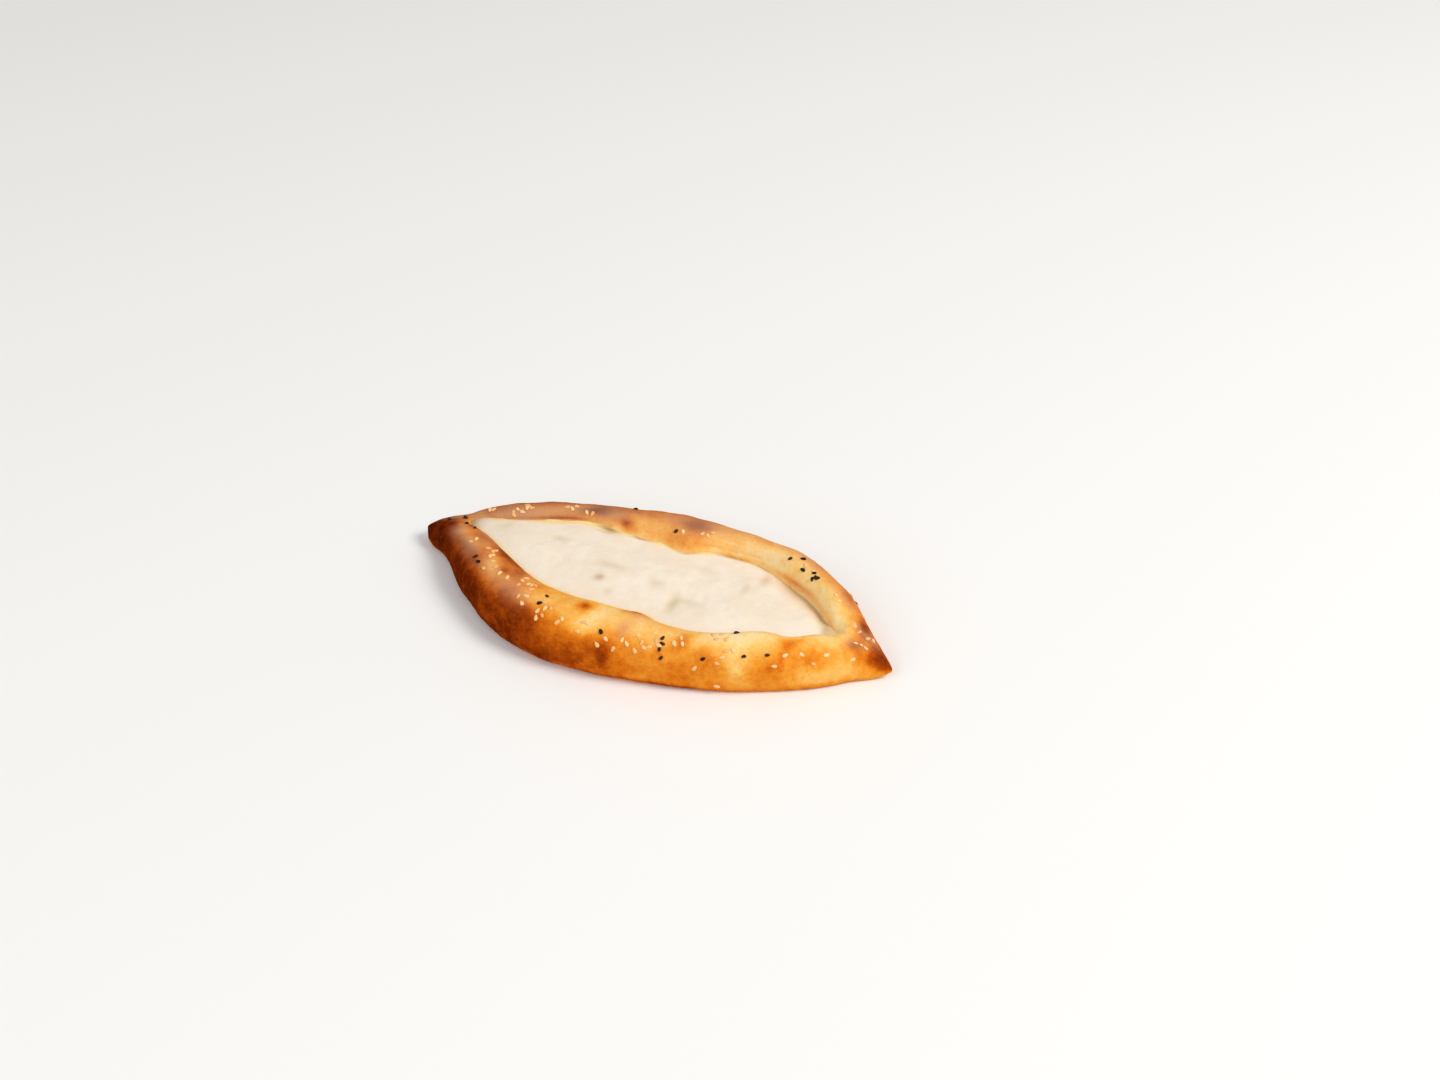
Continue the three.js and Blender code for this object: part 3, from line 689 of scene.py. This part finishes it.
def crust_material():
    """Baked dough: the baking browns with blotches of two sizes, the painted sheen and shade over
    them, and freckles in the pits of its grain."""
    material, tree, shader, place = new_material("baked crust", {"Specular IOR Level": 0.0})
    broad = use_group(tree, BLOTCHES, {"Vector": place, "Scale": 55.0, "Fine Share": 0.45})
    small = use_group(tree, BLOTCHES, {"Vector": place, "Scale": 210.0, "Fine Share": 0.5})
    grain = use_group(tree, GRAIN, {"Vector": place, "Scale": 750.0, "Pits": 0.35})
    # The baking browns, with a few lines of painted shade.
    brown = attribute(tree, "browning")
    uneven = calculate(tree, "ADD", swing(tree, broad, 0.15), swing(tree, small, 0.09))
    baked = baked_colour(tree, calculate(tree, "ADD", brown, uneven, clamp=True))
    # Painted sheen and shade: the brown greyed towards mauve where the attribute says.
    dusk = blended(tree, stretched(tree, brown, 0.2, 0.95), DUSK_PALE, DUSK_DARK)
    dulled = blended(tree, attribute(tree, "dusk"), baked, dusk)
    freckles = calculate(tree, "MULTIPLY", grain.outputs["Pit Mask"], 0.12)
    tree.links.new(blended(tree, freckles, dulled, FRECKLE), shader.inputs["Base Color"])
    roughened(tree, shader, small, 0.36, 0.52)
    bumped(tree, shader, grain.outputs["Height"], strength=0.3, distance=0.0005)
    return material


def cheese_material():
    """Baked white cheese: cream with soft mottling, under its tints: painted shade in its hollows and in
    the trough, butter at its edges, and stains with painted contact shade.
    """
    material, tree, shader, place = new_material("baked white cheese", {
        "Subsurface Weight": 0.25, "Subsurface Radius": (1.0, 0.75, 0.45), "Subsurface Scale": 0.003,
    })
    broad = use_group(tree, BLOTCHES, {"Vector": place, "Scale": 70.0, "Fine Share": 0.35})
    small = use_group(tree, BLOTCHES, {"Vector": place, "Scale": 260.0, "Fine Share": 0.5})
    grain = use_group(tree, GRAIN, {"Vector": place, "Scale": 900.0, "Pits": 0.5})
    mottling = calculate(tree, "MULTIPLY", small.outputs[0], 0.3)
    shade = blended(tree, mottling, blended(tree, broad.outputs[0], CREAM, DEEP_CREAM), MOTTLE)
    for name, tint in CHEESE_TINTS:
        shade = blended(tree, attribute(tree, name), shade, tint)
    tree.links.new(shade, shader.inputs["Base Color"])
    roughened(tree, shader, small, 0.42, 0.58)
    bumped(tree, shader, grain.outputs["Height"], strength=0.12, distance=0.0005)
    return material


def seed_material(name, dark, pale, rough, shine, grain_scale):
    """A seed's finish: its tone runs between two colours, over fine grain."""
    material, tree, shader, place = new_material(name, {"Specular IOR Level": shine})
    small = use_group(tree, BLOTCHES, {"Vector": place, "Scale": 600.0, "Fine Share": 0.5})
    grain = use_group(tree, GRAIN, {"Vector": place, "Scale": grain_scale, "Pits": 0.3})
    tone = calculate(tree, "ADD", attribute(tree, "tone"), swing(tree, small, 0.4), clamp=True)
    tree.links.new(blended(tree, tone, dark, pale), shader.inputs["Base Color"])
    roughened(tree, shader, small, rough - 0.06, rough + 0.06)
    bumped(tree, shader, grain.outputs["Height"], strength=0.25, distance=0.0003)
    return material


# The dough

def whole(rule, x, up):
    """Both halves of a cross section as one ring, from the middle of the underside round to it."""
    return np.concatenate([rule(x, up, FRONT), rule(x, up, BACK)[:, -2:0:-1]], axis=1)


def make_crust():
    """The dough as one closed tube of cross sections from the blunt tip to the tail."""
    t = np.linspace(-1, 1, DOUGH_COLUMNS)
    even, crowded = t * (1 - TIP_CROWDING), np.sin(t * math.pi / 2) * TIP_CROWDING
    columns = HALF_LENGTH * (even + crowded)
    ups = [start + np.arange(count) / count for start, count in RIM_STEPS] + [[5.0]]
    x, up = np.meshgrid(columns, np.concatenate(ups), indexing="ij")
    piece = make_tube(
        "crust_dough", whole(half_section, x, up), crust_material(),
        # The first attribute is the baking browns with a few lines of painted shade; the second is painted
        # sheen and shade.
        browning=whole(browned, x, up), dusk=whole(dusky, x, up),
    )
    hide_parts("crust")


# The cheese

CHEESE_COLUMNS, CHEESE_ACROSS, CLIMB_STEPS = 340, 120, 12
UNDERSIDE_STRIDE = 4  # the underside uses every fourth point of the top
CHEESE_DEPTH = 3  # how far the underside lies below the lips
CROWN = 1.5  # how much higher the solid cheese stands in the middle than at the lips
CROWN_LOSS = 0.5  # how far the baked cheese has settled below that
CROWN_POWER = 0.8  # power that makes the crown's sine wave fuller
EDGE_RISE = 0.45  # height of the cheese's edge above the lip
EDGE_SHARE = 0.25  # share of the lumps and dips that is left at the edge
CHEESE_REACH = 6  # how far the cheese runs on inside the dough past the opening's ends
END_FADE, END_DIP = 2.5, 1.1  # how far inside the opening the ends begin to dip, and how deep
# The film of cheese beyond a lip: its thickness at the lip, its lowest place below the dough's
# skin, and how far it runs on in the dough.
FILM_THICKNESS, FILM_LOWEST, FILM_BURIED = 0.35, -1.2, 1.3
# How far the film climbs: the middle value, the least, and the noise's lane for each rim.
CLIMB, LEAST_CLIMB, CLIMB_LANE = 0.4, 0.15, 40.0
# Noise of the cheese's top, of the film's reach and of the colours' edge: height, size, seed.
CHEESE_LUMPS = ((0.6, 14, 7), (0.26, 6, 8), (0.05, 2.4, 9))
CLIMB_LUMPS = ((0.35, 9, 5), (0.25, 3.5, 6))
TINT_LUMPS = ((0.5, 4, 10),)
# Low swells of the cheese's top: x, y, length, breadth, height.
CHEESE_SWELLS = (
    (-62, 6, 20, 20, 0.8), (-22, -12, 16, 16, 0.9), (8, 14, 14, 14, 0.7),
    (22, -12, 11, 11, -1.1), (44, 16, 12, 12, 0.9), (50, -8, 15, 15, 0.8),
)
# Where the cheese smears up the slope of each rim: x, reach, width to the left and right.
SMEARS = {
    FRONT: ((-70, 0.5, 9, 9),),
    BACK: ((-34, 0.9, 8, 5), (-85, -0.4, 16, 16), (8, 0.3, 7, 7), (37, 0.4, 3, 3)),
}
# Hollows of the cheese's top: x, y, length, breadth, depth, and tint, which is how much painted shade
# darkens the hollow.
HOLLOWS = (
    (19.5, -13, 2.8, 6.5, 0.7, 0.85), (26, -8.5, 6, 2.6, 0.4, 0.4), (-20, -1, 7, 3, 0.3, 0.45),
    (-52, 8, 5, 3, 0.35, 0.5), (6, -3, 4, 3, 0.3, 0.4), (-37, 24.6, 6, 1.4, 0.3, 0.6),
    (-84, 5, 12, 7, 0.2, 0.3),
)
# Soft folds of the cheese's top, as lines: x, y, x, y, depth, width.
FOLDS = (
    (52, 25, 46, 9, 0.35, 2.4), (-6, 6, 14, 10, 0.25, 2), (-70, -3, -50, -9, 0.25, 2.2),
    (20, -18, 34, -20, 0.3, 2), (-42, 25, -29, 24.6, 0.5, 0.9), (-30, 27, -20.5, 24.6, -0.6, 1.2),
)
# The trough along the back lip, where the cheese has sunk away from the dough. It runs out from
# 8 before the opening's right end to 1 past it.
TROUGH = {"from": 44, "fade": 24, "depth": 3.6, "width": 8.8, "before_end": 8, "past_end": 1}
# Painted shade on the cheese in the trough and at the opening's right end.
TOAST = {"most": 0.9, "power": 1.5, "at_end": 0.8, "fade": 5}
# Brown stains on the cheese: x, y, length, breadth, amount. The one at (52, 25) is a pinkish-brown spot at
# the top of the fold from (52, 25) to (46, 9), and the one at (46.5, 13) is painted shade along that fold.
STAINS = (
    (-20, -12.5, 2.6, 2.8, 0.6), (-12, -20, 2.6, 2.8, 0.2), (52, 25, 2.4, 6, 0.34),
    (46.5, 13, 2, 5.5, 0.26), (23, 18, 5, 3, 0.16), (35, -13, 2.6, 4.5, 0.14), (-104, 8, 7.5, 9, 0.85),
)
# Painted shade in lines along the back lip, where the cheese meets the dough: x, amount, length.
CONTACTS = ((-35, 0.8, 6), (-17, 0.8, 5), (31, 0.9, 8), (47, 0.9, 4), (9, 0.5, 5))
# Width of the painted shade lines.
CONTACT_WIDTH = 1.4
# The buttery edge along each lip: its width, how much butter, and the places where it is wider, as
# x, how much, length. It fades out between two shares of its width.
BUTTER_WIDTH = {FRONT: 1.5, BACK: 1.1}
BUTTER_SHARE = {FRONT: 0.5, BACK: 0.85}
BUTTER_WIDER = {FRONT: (), BACK: ((-64, 3.2, 10), (-46, 1.4, 8), (-92, 1.8, 8), (70, -0.8, 20))}
BUTTER_FADE = (1.4, 0.5)


def climb_at(x, side):
    """How far the cheese reaches up the slope beyond a lip, uneven along the pie."""
    along = np.stack([x, np.full_like(x, side * CLIMB_LANE), np.zeros_like(x)], -1)
    reach = lumpy(along, CLIMB_LUMPS, base=CLIMB)
    for place, tall, left, right in SMEARS[side]:
        width = np.where(x < place, left, right)
        reach = reach + tall * np.exp(-((x - place) / width) ** 2)
    return np.maximum(reach, LEAST_CLIMB)


def slope_height(x, y, side):
    """Height of a rim's inner slope at y, from the arc that the skin takes down to the lip."""
    s = shape_at(x)
    edge, lip = s["edge"][side], s["lip"][side]
    top = lip + (edge - lip) * CREST_SHARE
    sine = np.clip((y - top) / (lip - top), 0, 1) * math.sin(SLOPE_END)
    return s["crest"] - s["drop"] * (1 - np.sqrt(1 - sine ** 2)) / (1 - math.cos(SLOPE_END))


def in_trough(x, from_lip):
    """1 at the back lip along the trough, falling to 0 a little way in."""
    along = ease(TROUGH["from"], TROUGH["from"] + TROUGH["fade"], x)
    return along * np.exp(-(np.maximum(from_lip, 0) / TROUGH["width"]) ** 2)


def sunk_away(x, from_lip):
    """How far the cheese has sunk along the back lip. The trough runs out at the opening's end."""
    runs_out = ease(RIGHT_END + TROUGH["past_end"], RIGHT_END - TROUGH["before_end"], x)
    return TROUGH["depth"] * in_trough(x, from_lip) * runs_out


def inside_lip(x, y, side):
    """Distance from a lip to a place on the cheese, made uneven by noise."""
    flat = np.stack([x, y, np.zeros_like(x)], -1)
    return (shape_at(x)["lip"][side] - y) * side + lumpy(flat, TINT_LUMPS)


def butter_at(x, y):
    """How buttery the cheese's edge is: a band along each lip, wider in places."""
    total = np.zeros(x.shape)
    for side in (FRONT, BACK):
        width = BUTTER_WIDTH[side] + bumps(BUTTER_WIDER[side], x)
        pale, full = (share * width for share in BUTTER_FADE)
        band = BUTTER_SHARE[side] * ease(pale, full, inside_lip(x, y, side))
        total = np.maximum(total, band)
    return total


def contact_at(x, y):
    """Painted shade in lines where the cheese meets the dough, as bells along and across the lip."""
    return bumps(CONTACTS, x) * np.exp(-(inside_lip(x, y, BACK) / CONTACT_WIDTH) ** 2)


def cheese_film(columns, side):
    """The cheese beyond a lip, from its end to the lip: a film on the rim's slope that thins as a
    parabola and ends inside the dough."""
    lips = shape_at(columns)["lip"]
    reach = climb_at(columns, side)[:, None]
    beyond = np.linspace(1, 0, CLIMB_STEPS, endpoint=False) * (reach + FILM_BURIED)
    y = lips[side][:, None] + side * beyond
    x = np.broadcast_to(columns[:, None], y.shape)
    film = np.maximum(FILM_THICKNESS * (1 - (beyond / reach) ** 2), FILM_LOWEST)
    z = slope_height(x, y, side) + film - sunk_away(x, lips[BACK][:, None] - y)
    return np.stack([x, y, z], -1)


def cheese_top(columns):
    """The cheese between the lips: a little above them, crowned as a sine wave with bell-shaped
    swells, with lumps, hollows and folds that fade towards its edges."""
    s = shape_at(columns)
    front, back = s["lip"][FRONT][:, None], s["lip"][BACK][:, None]
    across = np.linspace(0, 1, CHEESE_ACROSS)
    y = front + (back - front) * across
    x = np.broadcast_to(columns[:, None], y.shape)
    flat = np.stack([x, y, np.zeros_like(x)], -1)
    dips = bells([row[:5] for row in HOLLOWS], x, y)
    for x_start, y_start, x_end, y_end, deep, wide in FOLDS:
        start, end = np.array([x_start, y_start]), np.array([x_end, y_end])
        dips = dips + deep * np.exp(-(away_from_line(flat[..., :2], start, end) / wide) ** 2)
    fade = np.sin(math.pi * across) ** CROWN_POWER
    crown = (CROWN + bells(CHEESE_SWELLS, x, y) - CROWN_LOSS) * fade
    uneven = (lumpy(flat, CHEESE_LUMPS) - dips) * (EDGE_SHARE + (1 - EDGE_SHARE) * fade)
    z = (s["crest"] - s["drop"])[:, None] + EDGE_RISE + crown + uneven
    return np.stack([x, y, z - sunk_away(x, back - y)], -1)


def make_cheese():
    """The cheese as a closed tube of cross sections: its top and the film on both slopes, over an
    underside inside the dough. Past the opening its ends dip into the dough."""
    left, right = LEFT_END - CHEESE_REACH, RIGHT_END + CHEESE_REACH
    columns = np.linspace(left, right, CHEESE_COLUMNS)
    s = shape_at(columns)
    top = np.concatenate([
        cheese_film(columns, FRONT), cheese_top(columns), cheese_film(columns, BACK)[:, ::-1],
    ], axis=1)
    x = top[..., 0]
    ends = ease(left, LEFT_END + END_FADE, x) * ease(right, RIGHT_END - END_FADE, x)
    top[..., 2] -= END_DIP * (1 - ends)
    under = top[:, ::-UNDERSIDE_STRIDE].copy()
    under[..., 2] = np.minimum(under[..., 2], (s["crest"] - s["drop"])[:, None]) - CHEESE_DEPTH
    rings = np.concatenate([top, under], axis=1)
    x, y = rings[..., 0], rings[..., 1]
    # Painted shade: strongest at the back lip along the trough, and more towards the opening's right end.
    toasted = TOAST["most"] * in_trough(x, s["lip"][BACK][:, None] - y) ** TOAST["power"]
    toasted = toasted + TOAST["at_end"] * ease(RIGHT_END - TOAST["fade"], RIGHT_END, x)
    piece = make_tube(
        "cheese", rings, cheese_material(),
        # Painted shade in the hollows.
        hollow=np.clip(bells([(*row[:4], row[5]) for row in HOLLOWS], x, y), 0, 1),
        # Real stains, with the painted shade of the contact lines.
        stain=np.clip(bells(STAINS, x, y) + contact_at(x, y), 0, 1),
        butter=butter_at(x, y), toasted=np.clip(toasted, 0, TOAST["most"]),
    )
    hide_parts("cheese_filling")


# The seeds

# Sizes in millimetres. sunk is the share of its thickness that a seed's middle lies above the
# dough, taper is how much narrower its tip is, and angular is how far it is from round.
SESAME = {"long": 3.1, "wide": 1.9, "thick": 1.0, "taper": 0.35, "sunk": 0.1, "angular": 0.0}
NIGELLA = {"long": 2.7, "wide": 1.7, "thick": 1.5, "taper": 0.25, "sunk": 0.15, "angular": 0.14}
HIGHEST_SEED = 2.85  # as an up, just short of the lip
SMALLEST, SIZE_SPREAD = 0.86, 0.24  # a seed's own size, as shares of the usual one
PATCH_TURN = 2  # how far a patch may be turned, in radians
# Patches of seeds on each rim: x, up, how many, radius. Two numbers place a single seed.
SESAME_PATCHES = {
    FRONT: (
        (-90, 2.15, 2, 3), (-77, 2.3, 4, 4), (-71, 1.95, 4, 5), (-59, 1.98, 2, 4), (-47, 2.25, 6, 5),
        (-43, 1.9, 4, 4), (-30, 1.78, 6, 4), (-18, 1.65, 2, 2), (-8, 1.68, 3, 3), (4, 1.52, 2, 3),
        (12, 1.5, 3, 4), (21, 1.56, 4, 4), (27, 1.68, 4, 4), (38, 1.8, 3, 3), (48, 1.2), (57, 1.8, 8, 8),
        (58, 0.75), (84, 1.45, 2, 4), (91, 1.6), (99, 1.55, 2, 4), (111, 1.55), (111, 2.5, 3, 3),
    ),
    BACK: (
        (115, 2.1), (108, 2.4, 3, 5), (92, 2.1, 2, 3), (72, 2.15, 2, 4), (14, 2.3, 3, 3), (2.5, 2.36),
        (-47, 2.4, 2, 3), (-58, 2.2, 3, 3), (-81, 2.4, 8, 6), (-96, 2.1, 2, 3),
    ),
}
NIGELLA_PATCHES = {
    FRONT: (
        (-104.5, 2.75), (-97.5, 2.7), (-81.5, 1.84), (-78, 1.8), (-32.5, 2.12), (-33, 1.88), (2, 1.66),
        (30.5, 1.8), (31.5, 1.66), (31, 1.52), (32.5, 1.35), (51, 1.4), (60.5, 2.2), (68, 1.48),
        (77.5, 1.55),
    ),
    BACK: (
        (-117, 2.6), (-108.5, 2.85), (-28, 1.8), (-1, 2.42), (60, 2.3), (66, 2), (68, 2.42),
        (75, 2.33, 4, 2.6),
    ),
}
# The outer face of the back rim is sprinkled thinly and evenly.
SPRINKLE_REACH = 108
SPRINKLE_UPS = (0.7, 1.6)
SPRINKLE_JITTER = 4
SPRINKLED_SESAME = 24
SPRINKLED_NIGELLA = 9
FIRST_SESAME, FIRST_NIGELLA = 1, 501  # numbers of the first seeds, from which all chance is drawn
GOLDEN_ANGLE = math.pi * (3 - math.sqrt(5))
SEED_AROUND, SEED_ALONG = 8, 6


def seed_places(patches, sprinkled, first):
    """Spreads each patch's seeds in a sunflower spiral and adds the thin sprinkle. Gives x, up,
    side and number for each seed."""
    places = []
    n = first
    rows = [(side, *row) for side in (FRONT, BACK) for row in patches[side]]
    for side, x, up, *spread in rows:
        count, radius = spread or (1, 0)
        for i in range(count):
            far = radius * math.sqrt((i + 0.5) / count)
            turn = i * GOLDEN_ANGLE + shuffled(n) * PATCH_TURN
            high = min(up + far * math.sin(turn) / RIM_STEP, HIGHEST_SEED)
            places.append((x + far * math.cos(turn), high, side, n))
            n += 1
    low, high = SPRINKLE_UPS
    for i in range(sprinkled):
        x = SPRINKLE_REACH * ((2 * i + 1) / sprinkled - 1)
        x += SPRINKLE_JITTER * (shuffled(n) - 0.5)
        places.append((x, low + (high - low) * shuffled(n + 0.5), BACK, n))
        n += 1
    return np.array(places, float).T


def seed_form(seed):
    """A tapered ellipsoid as rings from its wide end to its narrow one, with two poles. An
    angular seed's rings swell three times in a turn."""
    t = (np.arange(SEED_ALONG) + 0.5) / SEED_ALONG * math.pi
    turn = np.arange(SEED_AROUND) / SEED_AROUND * 2 * math.pi
    t, turn = np.meshgrid(t, turn, indexing="ij")
    along = -np.cos(t)
    girth = np.sin(t) * (1 - seed["taper"] * along) * (1 + seed["angular"] * np.cos(3 * turn))
    rings = np.stack([
        girth * np.cos(turn) * seed["wide"] / 2,
        along * seed["long"] / 2,
        girth * np.sin(turn) * seed["thick"] / 2,
    ], -1)
    ends = np.array([[0, -seed["long"] / 2, 0], [0, seed["long"] / 2, 0]])
    return np.concatenate([rings.reshape(-1, 3), ends])


def make_seeds(name, seed, patches, sprinkled, first, material):
    """All seeds of one kind as one piece. Each lies on the finished dough, its long axis turned
    at random from the level, and is sized a little up or down. A fraction added to a seed's number
    draws another chance."""
    x, up, side, n = seed_places(patches, sprinkled, first)
    place, normal = np.zeros((len(x), 3)), np.zeros((len(x), 3))
    for rim in (FRONT, BACK):
        on_rim = side == rim
        place[on_rim] = crust_point(x[on_rim], up[on_rim], rim)
        normal[on_rim] = skin_normal(x[on_rim], up[on_rim], rim)
    level = np.cross([1.0, 0.0, 0.0], normal)
    level /= np.linalg.norm(level, axis=-1, keepdims=True)
    turn = (shuffled(n + 0.25) * math.pi * 2)[:, None]
    long_axis = level * np.cos(turn) + np.cross(normal, level) * np.sin(turn)
    wide_axis = np.cross(long_axis, normal)
    axes = np.stack([wide_axis, long_axis, normal], 1)
    form = seed_form(seed)
    size = (SMALLEST + SIZE_SPREAD * shuffled(n + 0.75))[:, None, None]
    centre = place + normal * seed["thick"] * seed["sunk"]
    points = centre[:, None] + (form @ axes) * size
    quads, fans = tube_faces(SEED_ALONG, SEED_AROUND)
    offset = (np.arange(len(x)) * len(form))[:, None, None]
    tone = np.repeat(shuffled(n + 0.6), len(form))
    piece = make_piece(
        name, points.reshape(-1, 3), (quads + offset).reshape(-1, 4),
        (fans + offset).reshape(-1, 3), material, tone=tone,
    )
    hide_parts("crust")


make_crust()
make_cheese()
make_seeds(
    "sesame_seeds", SESAME, SESAME_PATCHES, SPRINKLED_SESAME, FIRST_SESAME,
    seed_material(
        "toasted sesame", dark=colour(238, 178, 112), pale=colour(255, 212, 152),
        rough=0.5, shine=0.2, grain_scale=1400.0,
    ),
)
make_seeds(
    "nigella_seeds", NIGELLA, NIGELLA_PATCHES, SPRINKLED_NIGELLA, FIRST_NIGELLA,
    seed_material(
        "black nigella", dark=colour(34, 18, 10), pale=colour(70, 42, 26),
        rough=0.6, shine=0.12, grain_scale=1800.0,
    ),
)


# The floor, the lights and the camera

FLOOR_HALF, FLOOR_LEVEL = 3.0, -0.0003  # in metres


def make_floor():
    """A pale square floor just below the pie."""
    half = FLOOR_HALF
    corners = ((-half, -half), (half, -half), (half, half), (-half, half))
    mesh = bpy.data.meshes.new("floor")
    mesh.from_pydata([(*corner, FLOOR_LEVEL) for corner in corners], [], [(0, 1, 2, 3)])
    finish = {"Base Color": colour(247, 246, 244), "Roughness": 0.9, "Specular IOR Level": 0.1}
    mesh.materials.append(new_material("pale floor", finish)[0])
    floor = bpy.data.objects.new("floor", mesh)
    bpy.context.scene.collection.objects.link(floor)


def direction(azimuth, elevation):
    """The unit vector at two angles in degrees, with the azimuth counted from +X towards +Y."""
    turn, rise = math.radians(azimuth), math.radians(elevation)
    level = math.cos(rise)
    return Vector((level * math.cos(turn), level * math.sin(turn), math.sin(rise)))


def make_light(name, azimuth, elevation, distance, size, power, tint=(1, 1, 1)):
    """A square soft light that faces the pie, with its distance and size in metres."""
    light = bpy.data.lights.new(name, "AREA")
    light.shape = "SQUARE"
    light.size = size
    light.energy = power
    light.color = tint
    lamp = bpy.data.objects.new(name, light)
    towards = direction(azimuth, elevation)
    lamp.location = towards * distance
    lamp.rotation_euler = towards.to_track_quat("Z", "Y").to_euler()
    bpy.context.scene.collection.objects.link(lamp)


def make_sky(strength):
    """Even white light from all round."""
    world = bpy.data.worlds.new("studio")
    bpy.context.scene.world = world
    world.use_nodes = True
    background = world.node_tree.nodes["Background"]
    background.inputs["Color"].default_value = (1, 1, 1, 1)
    background.inputs["Strength"].default_value = strength


# The photograph's view: the camera's place in millimetres before the shift, and the angles of its
# line of sight.
CAMERA_PLACE = (318.7, -647.2, 556.2)
CAMERA_AZIMUTH, CAMERA_ELEVATION, CAMERA_ROLL = 113.47, -35.5, 1.99
LENS, SENSOR_WIDTH = 46.1, 36


def make_camera():
    """The camera looks along its line of sight and is rolled about it."""
    forward = direction(CAMERA_AZIMUTH, CAMERA_ELEVATION)
    right = forward.cross(Vector((0, 0, 1))).normalized()
    up = right.cross(forward)
    roll = math.radians(CAMERA_ROLL)
    turned_right = right * math.cos(roll) + up * math.sin(roll)
    turned_up = up * math.cos(roll) - right * math.sin(roll)
    camera_data = bpy.data.cameras.new("camera")
    camera_data.sensor_width = SENSOR_WIDTH
    camera_data.lens = LENS
    camera_data.clip_start = 0.01
    camera = bpy.data.objects.new("camera", camera_data)
    turn = Matrix((turned_right, turned_up, -forward)).transposed()
    place = (Vector(CAMERA_PLACE) + Vector(SHIFT)) * MM
    camera.matrix_world = Matrix.Translation(place) @ turn.to_4x4()
    bpy.context.scene.collection.objects.link(camera)
    bpy.context.scene.camera = camera


make_floor()
make_sky(0.47)
make_light(
    "key", azimuth=8, elevation=46, distance=3.0, size=1.2, power=54.0, tint=(1.0, 0.98, 0.95)
)
make_light("fill", azimuth=-110, elevation=35, distance=2.6, size=2.0, power=19.0)
make_camera()
bpy.context.scene.view_settings.view_transform = "Standard"
